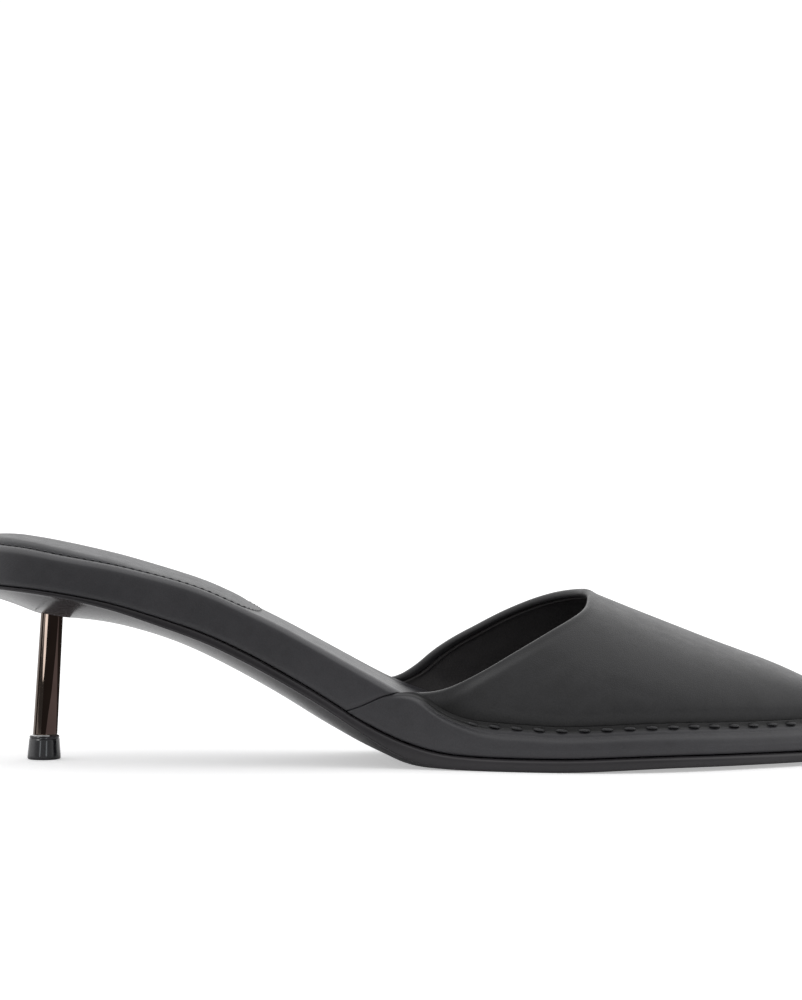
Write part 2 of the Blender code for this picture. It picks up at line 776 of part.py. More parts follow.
def main():
    for obj in list(bpy.data.objects):
        bpy.data.objects.remove(obj, do_unlink=True)
    scene = bpy.context.scene
    parts = bpy.data.collections.new("heeled_mule")
    cutters = bpy.data.collections.new("cutters")
    scene.collection.children.link(parts)
    scene.collection.children.link(cutters)

    # The whole shoe hangs on one empty that brings its box to the origin; the
    # outsole is the piece that reaches furthest in plan.
    root = bpy.data.objects.new("shoe_origin", None)
    parts.objects.link(root)
    outsole = make_outsole(principled("sole_black", (0.012, 0.011, 0.012), 0.22), parts, root)
    plan = np.array([v.co[:2] for v in outsole.data.vertices])
    middle = 0.5 * (plan.min(0) + plan.max(0))
    root.location = (-middle[0], -middle[1], 0.0)

    make_platform(principled("wrap_leather", (0.022, 0.022, 0.025), 0.48), parts, root, cutters)
    make_rand(principled("rand_leather", (0.022, 0.022, 0.025), 0.46), parts, root)
    make_upper(principled("vamp_leather", (0.024, 0.024, 0.026), 0.42), parts, root)
    make_insole(principled("sock_leather", (0.030, 0.030, 0.034), 0.40), parts, root)
    make_heel(
        principled("dark_metal", (0.10, 0.085, 0.085), 0.08, 1.0),
        principled("lift_plastic", (0.010, 0.010, 0.012), 0.15),
        parts, root, cutters, outsole,
    )


main()
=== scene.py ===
"""Looks of the heeled mule: fine meshes, materials, light and camera."""

import math  # noqa: E402

import bmesh  # noqa: E402
import bpy  # noqa: E402
import numpy as np  # noqa: E402
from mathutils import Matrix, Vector  # noqa: E402


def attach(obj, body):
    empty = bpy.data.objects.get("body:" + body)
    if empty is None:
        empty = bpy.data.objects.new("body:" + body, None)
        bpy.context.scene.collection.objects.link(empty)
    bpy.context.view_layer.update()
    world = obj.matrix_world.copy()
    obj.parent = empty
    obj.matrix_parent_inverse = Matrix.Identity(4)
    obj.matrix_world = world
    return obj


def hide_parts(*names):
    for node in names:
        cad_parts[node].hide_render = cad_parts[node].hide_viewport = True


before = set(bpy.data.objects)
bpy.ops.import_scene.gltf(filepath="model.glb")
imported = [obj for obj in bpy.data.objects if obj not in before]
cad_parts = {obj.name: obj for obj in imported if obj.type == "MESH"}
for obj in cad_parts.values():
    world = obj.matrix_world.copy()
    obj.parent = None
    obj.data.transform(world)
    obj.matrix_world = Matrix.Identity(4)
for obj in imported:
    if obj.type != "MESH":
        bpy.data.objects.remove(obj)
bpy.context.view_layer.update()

# ---------------------------------------------------------------- sizes (mm), as in the frame
LENGTH = 264.0
MID_X, MID_Y = 132.25, 0.2645
SOLE_PROUD = 0.5
RAND_T = 2.8
SEAM_IN = 3.2
UPPER_T = 1.6
SOCK_IN = 3.75
SOCK_RECESS = 1.0
SOCK_FRONT = 84.0
PIN_FOOT, PIN_LEAN = 24.3, 0.0597
PIN_R_LOW, PIN_R_TOP = 3.48, 3.12
LIFT_H, LIFT_R_LOW, LIFT_R_TOP = 6.8, 4.75, 4.28
MEDIAL_BACK = 6.0
MEDIAL_LIFT = 3.9
NOSE_FRONT = 252.0

OUTLINE = [
    # s, lateral, medial
    (2.2, 10.5, 10.5), (8.0, 19.3, 19.0), (16.0, 25.0, 24.6), (26.0, 28.4, 27.9), (38.0, 29.6, 29.0),
    (52.0, 29.2, 28.2), (70.0, 27.9, 25.8), (90.0, 26.9, 23.4), (108.0, 27.2, 23.0), (124.0, 29.0, 25.2),
    (140.0, 33.0, 30.0), (156.0, 37.6, 36.0), (170.0, 40.4, 39.9), (184.0, 41.0, 41.4), (198.0, 38.8, 40.6),
    (212.0, 34.0, 37.2), (226.0, 27.3, 32.0), (238.0, 20.8, 26.2), (248.0, 14.8, 20.4), (256.0, 9.2, 14.9),
    (261.4, 3.9, 9.7),
]
HEEL_END, TOE_END = (0.0, 0.0), (264.0, 3.0)

HEIGHTS = [
    # s, ground, wall_low, sole_edge, rim, cant
    (0.0, 44.8, 51.3, 1.0, 62.5, 0.0), (11.9, 44.6, 50.9, 1.0, 61.9, 0.0), (17.6, 43.6, 50.5, 1.1, 61.5, 0.0),
    (23.3, 41.5, 50.0, 1.2, 60.7, 0.0), (30.0, 40.5, 49.1, 1.3, 59.4, 0.0), (37.5, 40.0, 47.8, 1.5, 58.1, -0.2),
    (46.0, 38.7, 46.0, 1.8, 56.6, -0.5), (54.0, 36.7, 43.6, 2.1, 54.7, -0.7), (63.0, 33.7, 40.7, 2.4, 52.4, -1.0),
    (70.5, 30.4, 38.1, 2.6, 50.0, -1.1), (81.6, 24.7, 33.1, 2.9, 45.0, -1.2), (92.7, 18.4, 27.1, 3.0, 39.6, -1.2),
    (103.8, 11.5, 20.6, 3.1, 33.5, -1.1), (109.4, 8.3, 17.0, 3.2, 30.3, -1.1), (115.0, 5.2, 13.4, 3.4, 27.2, -1.2),
    (120.5, 2.8, 10.4, 3.8, 24.1, -1.2), (126.0, 1.1, 7.9, 4.3, 21.0, -0.8), (131.6, 0.25, 6.0, 4.6, 18.3, -0.4),
    (137.0, 0.0, 4.7, 4.2, 15.9, -0.1), (142.6, 0.0, 4.1, 3.8, 13.8, 0.0), (150.0, 0.0, 3.8, 3.6, 11.7, 0.0),
    (158.0, 0.0, 3.7, 3.5, 10.1, 0.0), (166.0, 0.0, 3.7, 3.5, 9.2, 0.0), (174.0, 0.0, 3.8, 3.5, 8.7, 0.0),
    (186.0, 0.65, 4.2, 3.4, 8.6, 0.0), (200.0, 1.1, 4.45, 3.2, 8.9, 0.0), (220.0, 1.1, 4.3, 3.05, 9.1, 0.0),
    (240.0, 1.1, 4.1, 2.85, 9.2, 0.0), (264.0, 1.6, 4.5, 2.75, 9.6, 0.0),
]
RAND_TOP = [
    (106.0, 13.9), (109.4, 15.2), (112.2, 16.2), (115.0, 17.2), (117.7, 18.4), (120.5, 19.7), (123.4, 20.7),
    (126.0, 21.3), (128.5, 21.5), (130.5, 21.1), (132.2, 20.1), (134.3, 18.5), (137.0, 16.7), (140.0, 15.3),
    (142.6, 14.5), (145.4, 13.9), (149.0, 13.5), (154.0, 13.2), (160.0, 12.9), (170.0, 12.5), (181.0, 12.8),
    (192.0, 13.2), (203.0, 13.3), (226.0, 12.9), (264.0, 12.8),
]
CREST = [
    # s, z, y
    (118.0, 66.0, 6.0), (130.0, 63.4, 5.8), (145.0, 59.9, 5.3), (160.0, 55.4, 4.8), (172.0, 51.0, 4.4),
    (180.4, 47.7, 4.2), (189.0, 44.2, 4.0), (200.4, 39.7, 3.8), (211.9, 35.2, 3.5), (223.3, 30.6, 3.3),
    (234.8, 25.9, 3.1), (243.0, 21.9, 3.0), (252.0, 17.0, 3.0),
]
THROAT_LATERAL = [
    (126.0, 17.0), (128.2, 20.6), (130.2, 21.6), (132.9, 21.7), (135.7, 22.1), (138.4, 22.9), (141.2, 24.1),
    (145.4, 26.3), (151.0, 29.4), (156.7, 32.7), (162.4, 35.9), (168.1, 39.0), (174.0, 42.0), (176.9, 43.6),
    (178.7, 45.0), (179.6, 46.4), (180.2, 48.5), (181.0, 54.0),
]
THROAT_MEDIAL = [
    (117.0, 17.0), (118.6, 21.4), (120.5, 22.5), (123.0, 22.4), (126.0, 22.9), (128.9, 24.6), (131.9, 27.0), (134.8, 29.6),
    (140.6, 33.6), (149.4, 38.2), (155.2, 41.1), (160.9, 43.6), (166.5, 45.7), (172.1, 47.3), (176.3, 48.0),
    (178.8, 48.3), (180.2, 49.2), (181.0, 54.0),
]


# ---------------------------------------------------------------- curves
def smooth(a, b, x):
    t = np.clip((np.asarray(x, float) - a) / (b - a), 0.0, 1.0)
    return t * t * (3 - 2 * t)


def blurred(values, sigma, wrap=False):
    """Values on an even grid, blurred by sigma steps; the ends are continued straight."""
    if sigma <= 0:
        return values
    r = int(4 * sigma) + 1
    kernel = np.exp(-0.5 * (np.arange(-r, r + 1) / sigma) ** 2)
    kernel /= kernel.sum()
    if wrap:
        ext = np.concatenate([values[-r:], values, values[:r]])
    else:
        k = np.arange(1, r + 1)
        head = values[0] + (values[0] - values[1]) * k[::-1]
        tail = values[-1] + (values[-1] - values[-2]) * k
        ext = np.concatenate([head, values, tail])
    return np.convolve(ext, kernel, mode="valid")


def column(table, k, blur=0.0):
    """Smooth value of column k against s (mm), its kinks evened out over blur mm."""
    xs = np.array([row[0] for row in table], float)
    ys = np.array([row[k] for row in table], float)
    h = np.diff(xs)
    d = np.diff(ys) / h
    m = np.zeros(len(xs))
    for i in range(1, len(xs) - 1):
        if d[i - 1] * d[i] > 0:
            a, b = 2 * h[i] + h[i - 1], h[i] + 2 * h[i - 1]
            m[i] = (a + b) / (a / d[i - 1] + b / d[i])
    m[0], m[-1] = d[0], d[-1]
    step = 0.1
    grid = np.arange(xs[0], xs[-1] + step / 2, step)
    i = np.clip(np.searchsorted(xs, grid, side="right") - 1, 0, len(h) - 1)
    t = np.clip((grid - xs[i]) / h[i], 0, 1)
    ys2 = (
        (1 + 2 * t) * (1 - t) ** 2 * ys[i]
        + t * (1 - t) ** 2 * h[i] * m[i]
        + t * t * (3 - 2 * t) * ys[i + 1]
        + t * t * (t - 1) * h[i] * m[i + 1]
    )
    ys2 = blurred(ys2, blur / step)
    return lambda x: np.interp(x, grid, ys2)


ground = column(HEIGHTS, 1, 2.2)
wall_low, sole_edge, rim, cant = (column(HEIGHTS, k, 3.0) for k in range(2, 6))
rand_top_lateral = column(RAND_TOP, 1, 0.9)
crest_z, crest_y = column(CREST, 1, 3.0), column(CREST, 2, 3.0)
throat = {-1: column(THROAT_LATERAL, 1, 0.7), 1: column(THROAT_MEDIAL, 1, 0.8)}


def rand_top(s, side):
    s = np.asarray(s, float)
    medial = np.asarray(side) > 0
    shift = MEDIAL_BACK * (1 - smooth(132.0, 168.0, s)) * medial
    return rand_top_lateral(s + shift) + MEDIAL_LIFT * (1 - smooth(106.0, 124.0, s)) * medial


def closed_curve(points, per_span=24):
    """Centripetal Catmull-Rom curve through a closed ring of points."""
    p = np.array(points, float)
    n = len(p)
    out = []
    for i in range(n):
        p0, p1, p2, p3 = p[i - 1], p[i], p[(i + 1) % n], p[(i + 2) % n]
        t0 = 0.0
        t1 = t0 + np.linalg.norm(p1 - p0) ** 0.5
        t2 = t1 + np.linalg.norm(p2 - p1) ** 0.5
        t3 = t2 + np.linalg.norm(p3 - p2) ** 0.5
        for k in range(per_span):
            t = t1 + (t2 - t1) * k / per_span
            a1 = (t1 - t) / (t1 - t0) * p0 + (t - t0) / (t1 - t0) * p1
            a2 = (t2 - t) / (t2 - t1) * p1 + (t - t1) / (t2 - t1) * p2
            a3 = (t3 - t) / (t3 - t2) * p2 + (t - t2) / (t3 - t2) * p3
            b1 = (t2 - t) / (t2 - t0) * a1 + (t - t0) / (t2 - t0) * a2
            b2 = (t3 - t) / (t3 - t1) * a2 + (t - t1) / (t3 - t1) * a3
            out.append((t2 - t) / (t2 - t1) * b1 + (t - t1) / (t2 - t1) * b2)
    return np.array(out)


def outline_sides():
    """The outline as two sides, heel to toe: points, inward normals and running length."""
    span = 48
    raw = closed_curve(
        [HEEL_END] + [(s, -a) for s, a, b in OUTLINE] + [TOE_END] + [(s, b) for s, a, b in reversed(OUTLINE)],
        span,
    )
    tip = span * (len(OUTLINE) + 1)
    # Even steps of length, blurred a little so that gloss runs over it without kinks.
    gone = np.concatenate([[0], np.cumsum(np.linalg.norm(np.diff(np.vstack([raw, raw[:1]]), axis=0), axis=1))])
    count = 6000
    u = np.linspace(0, gone[-1], count, endpoint=False)
    closed = np.vstack([raw, raw[:1]])
    ring = np.column_stack([np.interp(u, gone, closed[:, k]) for k in (0, 1)])
    step = gone[-1] / count
    ring = np.column_stack([blurred(ring[:, k], 1.8 / step, wrap=True) for k in (0, 1)])
    tip = int(round(gone[tip] / gone[-1] * count))
    tangent = np.roll(ring, -1, 0) - np.roll(ring, 1, 0)
    tangent /= np.linalg.norm(tangent, axis=1)[:, None]
    inward = np.column_stack([-tangent[:, 1], tangent[:, 0]])
    inward = np.column_stack([blurred(inward[:, k], 2.0 / step, wrap=True) for k in (0, 1)])
    inward /= np.linalg.norm(inward, axis=1)[:, None]
    sides = {}
    for side, index in ((-1, list(range(0, tip + 1))), (1, [0] + list(range(count - 1, tip - 1, -1)))):
        p, n = ring[index], inward[index]
        length = np.concatenate([[0], np.cumsum(np.linalg.norm(np.diff(p, axis=0), axis=1))])
        sides[side] = (p, n, length / length[-1])
    return sides


SIDE = outline_sides()


def edge_xy(side, t, inset):
    """Points at part t of a side's length, moved inward; side, t and inset may be arrays."""
    side, t, inset = np.broadcast_arrays(np.asarray(side), np.asarray(t, float), np.asarray(inset, float))
    made = {}
    for s in (-1, 1):
        p, n, f = SIDE[s]
        made[s] = [np.interp(t, f, p[:, k]) + inset * np.interp(t, f, n[:, k]) for k in (0, 1)]
    return np.stack([np.where(side < 0, made[-1][k], made[1][k]) for k in (0, 1)], -1)


def length_at(side, s):
    p, n, f = SIDE[side]
    return np.interp(s, p[:, 0], f)


CLOSENESS = [
    (0.0, 3.0), (0.08, 2.0), (0.17, 1.0), (0.36, 1.1), (0.42, 2.0), (0.55, 1.8), (0.62, 1.0), (0.88, 1.0),
    (0.96, 2.4), (1.0, 3.4),
]


def sole_stations(count):
    u = np.linspace(0, 1, 2001)
    weight = np.interp(u, [r[0] for r in CLOSENESS], [r[1] for r in CLOSENESS])
    run = np.concatenate([[0], np.cumsum(0.5 * (weight[1:] + weight[:-1]))])
    return np.interp(np.linspace(0, run[-1], count + 1), run, u)


# ---------------------------------------------------------------- meshes
COLLECTION = bpy.data.collections.new("shoe_looks")
bpy.context.scene.collection.children.link(COLLECTION)
STAGE = bpy.data.collections.new("stage")
bpy.context.scene.collection.children.link(STAGE)


def in_frame(points):
    """Design millimetres to the frame's metres."""
    return (np.asarray(points, float) - np.array([MID_X, MID_Y, 0.0])) * 0.001


def grid_faces(rows, cols, wrap=False):
    faces = []
    last = cols if wrap else cols - 1
    for r in range(rows - 1):
        for c in range(last):
            d = (c + 1) % cols
            faces.append((r * cols + c, r * cols + d, (r + 1) * cols + d, (r + 1) * cols + c))
    return faces


def make_object(name, points, faces, materials, marks=None, weld=2e-8, sharp=None, crease=None):
    """Mesh object in the frame; marks gives each face's material, crease each point's depth of painted seam shade."""
    co = in_frame(points)
    mesh = bpy.data.meshes.new(name)
    mesh.from_pydata([tuple(p) for p in co], [], faces)
    for m in materials:
        mesh.materials.append(m)
    if marks is not None:
        mesh.polygons.foreach_set("material_index", np.asarray(marks, np.int32))
    if crease is not None:
        layer = mesh.attributes.new("crease", "FLOAT", "POINT")
        layer.data.foreach_set("value", np.asarray(crease, np.float32))
    bm = bmesh.new()
    bm.from_mesh(mesh)
    bmesh.ops.remove_doubles(bm, verts=bm.verts, dist=max(weld, 1e-7))
    bmesh.ops.dissolve_degenerate(bm, edges=bm.edges, dist=1e-7)
    loose = [v for v in bm.verts if not v.link_faces]
    if loose:
        bmesh.ops.delete(bm, geom=loose, context="VERTS")
    bmesh.ops.recalc_face_normals(bm, faces=bm.faces)
    bm.to_mesh(mesh)
    bm.free()
    mesh.shade_smooth()
    if sharp:
        mesh.set_sharp_from_angle(angle=math.radians(sharp))
    obj = bpy.data.objects.new(name, mesh)
    COLLECTION.objects.link(obj)
    return obj


def rides(obj, slot, *nodes):
    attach(obj, "root")
    if nodes:
        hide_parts(*nodes)
    return obj


def sole_loop(count):
    """Stations round the whole outline: side, part of length, and index along the side."""
    st = sole_stations(count)
    t = np.concatenate([st, st[-2:0:-1]])
    side = np.concatenate([-np.ones(count + 1, int), np.ones(count - 1, int)])
    j = np.concatenate([np.arange(count + 1), np.arange(count - 1, 0, -1)])
    return side, t, j


def sole_row(loop, count, inset, share, spine=(232.0, 22.0)):
    """Plan points of one row: at inset(side, t), then moved in by share to the spine."""
    side, t, j = loop
    front, back = spine
    d = inset(side, t)
    xy = edge_xy(side, t, d)
    mid = 0.5 * (edge_xy(-1, t, inset(-1, t)) + edge_xy(1, t, inset(1, t)))[..., 0]
    hub_x = 0.5 * np.clip(mid, back, front) + 0.5 * (back + (front - back) * j / count)
    near = edge_xy(-1, length_at(-1, hub_x), 0.0)[..., 1]
    far = edge_xy(1, length_at(1, hub_x), 0.0)[..., 1]
    hub = np.stack([hub_x, 0.5 * (near + far)], -1)
    return xy + (hub - xy) * share


def station_x(side, t):
    return edge_xy(side, t, 0.0)[..., 0]


# ---------------------------------------------------------------- materials
class Nodes:
    def __init__(self, name):
        self.material = bpy.data.materials.new(name)
        self.material.use_nodes = True
        self.tree = self.material.node_tree
        self.shader = self.tree.nodes["Principled BSDF"]
        self.coords = self.add("ShaderNodeTexCoord").outputs["Object"]

    def add(self, kind, **values):
        node = self.tree.nodes.new(kind)
        for key, value in values.items():
            setattr(node, key, value)
        return node

    def link(self, a, b):
        self.tree.links.new(a, b)

    def put(self, node, **values):
        for key, value in values.items():
            node.inputs[key.replace("_", " ")].default_value = value
        return node

    def noise(self, scale, detail=2.0, rough=0.5, source=None):
        node = self.add("ShaderNodeTexNoise")
        self.put(node, Scale=scale, Detail=detail, Roughness=rough)
        self.link(source or self.coords, node.inputs["Vector"])
        return node.outputs["Fac"]

    def voronoi(self, scale, feature="DISTANCE_TO_EDGE", source=None, randomness=1.0):
        node = self.add("ShaderNodeTexVoronoi", feature=feature)
        self.put(node, Scale=scale, Randomness=randomness)
        self.link(source or self.coords, node.inputs["Vector"])
        return node.outputs["Distance"]

    def ramp(self, value, stops):
        node = self.add("ShaderNodeMapRange", clamp=True)
        a, b, c, d = stops
        node.inputs["From Min"].default_value = a
        node.inputs["From Max"].default_value = b
        node.inputs["To Min"].default_value = c
        node.inputs["To Max"].default_value = d
        self.link(value, node.inputs["Value"])
        return node.outputs["Result"]

    def maths(self, kind, a, b):
        node = self.add("ShaderNodeMath", operation=kind)
        for socket, value in zip(node.inputs, (a, b)):
            if isinstance(value, (int, float)):
                socket.default_value = value
            else:
                self.link(value, socket)
        return node.outputs[0]

    def mix(self, factor, a, b):
        node = self.add("ShaderNodeMix", data_type="RGBA")
        if isinstance(factor, (int, float)):
            node.inputs[0].default_value = factor
        else:
            self.link(factor, node.inputs[0])
        for socket, value in ((node.inputs[6], a), (node.inputs[7], b)):
            if isinstance(value, tuple):
                socket.default_value = (*value, 1.0)
            else:
                self.link(value, socket)
        return node.outputs[2]

    def bump(self, height, strength, distance, normal=None):
        node = self.add("ShaderNodeBump")
        node.inputs["Strength"].default_value = strength
        node.inputs["Distance"].default_value = distance
        self.link(height, node.inputs["Height"])
        if normal is not None:
            self.link(normal, node.inputs["Normal"])
        return node.outputs["Normal"]

    def warped(self, scale, amount):
        """Object coordinates pushed about by noise, so that cells don't look drawn."""
        noise = self.add("ShaderNodeTexNoise")
        self.put(noise, Scale=scale, Detail=1.0)
        self.link(self.coords, noise.inputs["Vector"])
        node = self.add("ShaderNodeVectorMath", operation="MULTIPLY_ADD")
        self.link(noise.outputs["Color"], node.inputs[0])
        node.inputs[1].default_value = (amount, amount, amount)
        self.link(self.coords, node.inputs[2])
        return node.outputs[0]


def leather(name, dark, light, rough=(0.40, 0.50), grain=1700.0, depth=0.00006, swell=0.00012, specular=0.5,
            coat=0.0):
    """Smooth dyed leather: fine pebble grain, pores, faint mottling and soft swells, with painted seam shade from the
    crease attribute.
    """
    n = Nodes(name)
    w = n.warped(420.0, 0.0006)
    cells = n.voronoi(grain, source=w)
    pebble = n.ramp(cells, (0.0, 0.22, 0.0, 1.0))
    fine = n.noise(grain * 2.6, 2.0, 0.6)
    pores = n.voronoi(grain * 0.42, feature="F1")
    pore = n.ramp(pores, (0.05, 0.22, 0.0, 1.0))
    cloud = n.noise(62.0, 3.0, 0.55)
    blotch = n.noise(260.0, 2.0, 0.6)
    colour = n.mix(n.ramp(cloud, (0.3, 0.7, 0.0, 1.0)), dark, light)
    colour = n.mix(n.ramp(pebble, (0.0, 1.0, 0.28, 0.0)), colour, tuple(0.45 * c for c in dark))
    colour = n.mix(n.ramp(blotch, (0.35, 0.75, 0.0, 0.35)), colour, tuple(1.15 * c for c in light))
    # Painted shade: the base colour darkens towards 0.12 of the dark tone where the crease attribute is set, standing
    # in for the seam's shadow.
    seam_shade = n.tree.nodes.new("ShaderNodeAttribute")
    seam_shade.attribute_name = "crease"
    colour = n.mix(seam_shade.outputs["Fac"], colour, tuple(0.12 * c for c in dark))
    n.link(colour, n.shader.inputs["Base Color"])
    r = n.maths("ADD", n.ramp(blotch, (0.3, 0.7, rough[0], rough[1])), n.ramp(pebble, (0.0, 1.0, 0.05, 0.0)))
    n.link(r, n.shader.inputs["Roughness"])
    height = n.maths("ADD", n.maths("MULTIPLY", pebble, 0.6), n.maths("MULTIPLY", fine, 0.35))
    height = n.maths("ADD", height, n.maths("MULTIPLY", pore, 0.35))
    normal = n.bump(height, 0.55, depth)
    swelling = n.noise(95.0, 2.0, 0.45)
    normal = n.bump(swelling, 0.6, swell * 2.2, normal)
    n.link(normal, n.shader.inputs["Normal"])
    n.shader.inputs["Specular IOR Level"].default_value = specular
    n.shader.inputs["IOR"].default_value = 1.5
    if coat:
        n.shader.inputs["Coat Weight"].default_value = coat
        n.shader.inputs["Coat Roughness"].default_value = 0.3
    return n.material


def lacquer(name, dark, light, rough=(0.17, 0.25)):
    """Polished, lacquered leather sole: hard gloss with faint waviness."""
    n = Nodes(name)
    cloud = n.noise(70.0, 3.0, 0.5)
    n.link(n.mix(n.ramp(cloud, (0.3, 0.7, 0.0, 1.0)), dark, light), n.shader.inputs["Base Color"])
    fleck = n.noise(900.0, 2.0, 0.6)
    n.link(n.ramp(fleck, (0.3, 0.75, rough[0], rough[1])), n.shader.inputs["Roughness"])
    normal = n.bump(n.noise(1500.0, 2.0, 0.5), 0.25, 0.00001)
    normal = n.bump(n.noise(110.0, 2.0, 0.4), 0.35, 0.00008, normal)
    n.link(normal, n.shader.inputs["Normal"])
    n.shader.inputs["Specular IOR Level"].default_value = 0.47
    n.shader.inputs["IOR"].default_value = 1.5
    return n.material


def dark_plate(name):
    """Black nickel plate: a mirror with a warm dark tint and hair-fine polish marks."""
    n = Nodes(name)
    cloud = n.noise(180.0, 2.0, 0.5)
    n.link(n.mix(n.ramp(cloud, (0.3, 0.7, 0.0, 1.0)), (0.165, 0.130, 0.110), (0.190, 0.150, 0.128)),
           n.shader.inputs["Base Color"])
    stretch = n.add("ShaderNodeMapping")
    stretch.inputs["Scale"].default_value = (1.0, 1.0, 0.06)
    n.link(n.coords, stretch.inputs["Vector"])
    hair = n.noise(5200.0, 2.0, 0.6, source=stretch.outputs[0])
    n.link(n.ramp(hair, (0.35, 0.75, 0.035, 0.085)), n.shader.inputs["Roughness"])
    n.link(n.bump(n.noise(240.0, 1.0, 0.4), 0.2, 0.00002), n.shader.inputs["Normal"])
    n.shader.inputs["Metallic"].default_value = 1.0
    return n.material


def hard_plastic(name, dark, light):
    """Moulded glossy black tip with faint scuffs near the floor."""
    n = Nodes(name)
    cloud = n.noise(300.0, 3.0, 0.6)
    n.link(n.mix(n.ramp(cloud, (0.3, 0.7, 0.0, 1.0)), dark, light), n.shader.inputs["Base Color"])
    scuff = n.add("ShaderNodeMapping")
    scuff.inputs["Scale"].default_value = (0.3, 0.3, 1.0)
    n.link(n.coords, scuff.inputs["Vector"])
    lines = n.noise(3800.0, 2.0, 0.7, source=scuff.outputs[0])
    n.link(n.ramp(lines, (0.4, 0.8, 0.13, 0.26)), n.shader.inputs["Roughness"])
    n.link(n.bump(lines, 0.25, 0.000012), n.shader.inputs["Normal"])
    n.shader.inputs["Specular IOR Level"].default_value = 0.5
    n.shader.inputs["Coat Weight"].default_value = 0.4
    n.shader.inputs["Coat Roughness"].default_value = 0.08
    return n.material


def thread(name, dark, light):
    """Waxed twisted thread."""
    n = Nodes(name)
    twist = n.noise(4200.0, 2.0, 0.5)
    n.link(n.mix(n.ramp(twist, (0.35, 0.65, 0.0, 1.0)), dark, light), n.shader.inputs["Base Color"])
    n.link(n.ramp(twist, (0.3, 0.7, 0.32, 0.5)), n.shader.inputs["Roughness"])
    n.link(n.bump(twist, 0.5, 0.00006), n.shader.inputs["Normal"])
    n.shader.inputs["Specular IOR Level"].default_value = 0.6
    return n.material


WRAP = leather("wrap_leather", (0.042, 0.041, 0.046), (0.050, 0.049, 0.055), (0.33, 0.41), specular=0.64)
VAMP = leather("vamp_leather", (0.042, 0.0417, 0.0435), (0.050, 0.0497, 0.052), (0.32, 0.40), swell=0.00018,
               specular=0.36)
SOCK = leather("sock_leather", (0.036, 0.036, 0.040), (0.044, 0.044, 0.049), (0.34, 0.42), depth=0.00005,
               specular=0.38)
LINING = leather("lining_leather", (0.068, 0.065, 0.066), (0.082, 0.078, 0.079), (0.55, 0.66), grain=1500.0,
                 specular=0.4)
SOLE = lacquer("sole_lacquer", (0.030, 0.028, 0.031), (0.038, 0.035, 0.039))
METAL = dark_plate("dark_plate")
TIP = hard_plastic("tip_plastic", (0.008, 0.008, 0.010), (0.013, 0.013, 0.016))
THREAD = thread("black_thread", (0.020, 0.020, 0.022), (0.060, 0.060, 0.064))


# ---------------------------------------------------------------- outsole
def seam_gap(x):
    """Half the gap between the sole's edge and what stands on it."""
    return 0.05 + 0.10 * smooth(45.0, 95.0, x)


def make_outsole():
    count = 230
    loop = sole_loop(count)
    side, t, _ = loop

    def proud(sd, tt):
        return -SOLE_PROUD * smooth(95.0, 140.0, station_x(sd, tt))

    def at(extra):
        return lambda sd, tt: proud(sd, tt) + extra

    def under(x, share):
        edge = wall_low(x) - 0.15 - sole_edge(x)
        belly = edge - ground(x)
        tread = smooth(112.0, 137.0, x)
        rise = (1 - tread) * (1 - share) ** 2 + tread * np.maximum(0.0, 1 - share / 0.2) ** 2
        return edge - belly * (1 - rise)

    def top(x):
        return wall_low(x) - seam_gap(x)

    def bevel(x):
        return 0.26 + 0.69 * smooth(55.0, 105.0, x)

    rows = []
    for share in (1.0, 0.93, 0.85, 0.76, 0.66, 0.56, 0.47, 0.38, 0.30, 0.23, 0.17, 0.12, 0.08, 0.055, 0.035):
        xy = sole_row(loop, count, at(0.62), share)
        rows.append(np.column_stack([xy, under(xy[:, 0], share)]))
    for extra, lift in ((0.62, 0.0), (0.44, 0.04), (0.28, 0.12), (0.15, 0.24), (0.06, 0.38), (0.01, 0.52)):
        xy = sole_row(loop, count, at(extra), 0.0)
        rows.append(np.column_stack([xy, under(xy[:, 0], 0.0) + lift]))
    for k in (0.2, 0.4, 0.6, 0.8):
        xy = sole_row(loop, count, at(-0.03), 0.0)
        low, high = under(xy[:, 0], 0.0) + 0.52, top(xy[:, 0]) - bevel(xy[:, 0])
        rows.append(np.column_stack([xy, low + (np.maximum(high, low + 0.05) - low) * k]))
    for extra, drop in ((0.0, 1.0), (0.10, 0.80), (0.28, 0.58), (0.52, 0.35), (0.78, 0.15), (1.0, 0.03), (1.6, 0.0)):
        xy = sole_row(loop, count, at(extra), 0.0)
        rows.append(np.column_stack([xy, top(xy[:, 0]) - drop * bevel(xy[:, 0])]))
    for share in (0.4, 1.0):
        xy = sole_row(loop, count, at(1.6), share)
        rows.append(np.column_stack([xy, top(xy[:, 0])]))
    cols = len(t)
    obj = make_object("outsole_skin", np.vstack(rows), grid_faces(len(rows), cols, True), [SOLE])
    return rides(obj, "sole_edge", "outsole")


# ---------------------------------------------------------------- wrapped footbed
ROLL_DROP = 2.1
ROLL = [
    # depth below the rim, inset: a crisp inner edge, a slope, then a soft turn into the wall
    (0.0, 3.1), (0.03, 2.7), (0.12, 2.2), (0.28, 1.74), (0.5, 1.32), (0.75, 0.92), (1.0, 0.58), (1.2, 0.36),
    (1.4, 0.19), (1.65, 0.07), (2.1, 0.0),
]


def roll(drop):
    """Inset of the rim's shoulder at that depth below the rim."""
    return np.interp(drop, [r[0] for r in ROLL], [r[1] for r in ROLL])


def rim_top(x, side, share=0.0):
    return rim(x) + cant(x) * 0.5 * (side * (1 - share) + 1)


def wall_foot(x, side):
    """Bottom of the wrapped wall: the sole's edge, then the slanting seam over the rand."""
    return np.maximum(wall_low(x) + seam_gap(x), rand_top(x, side) + 0.10)


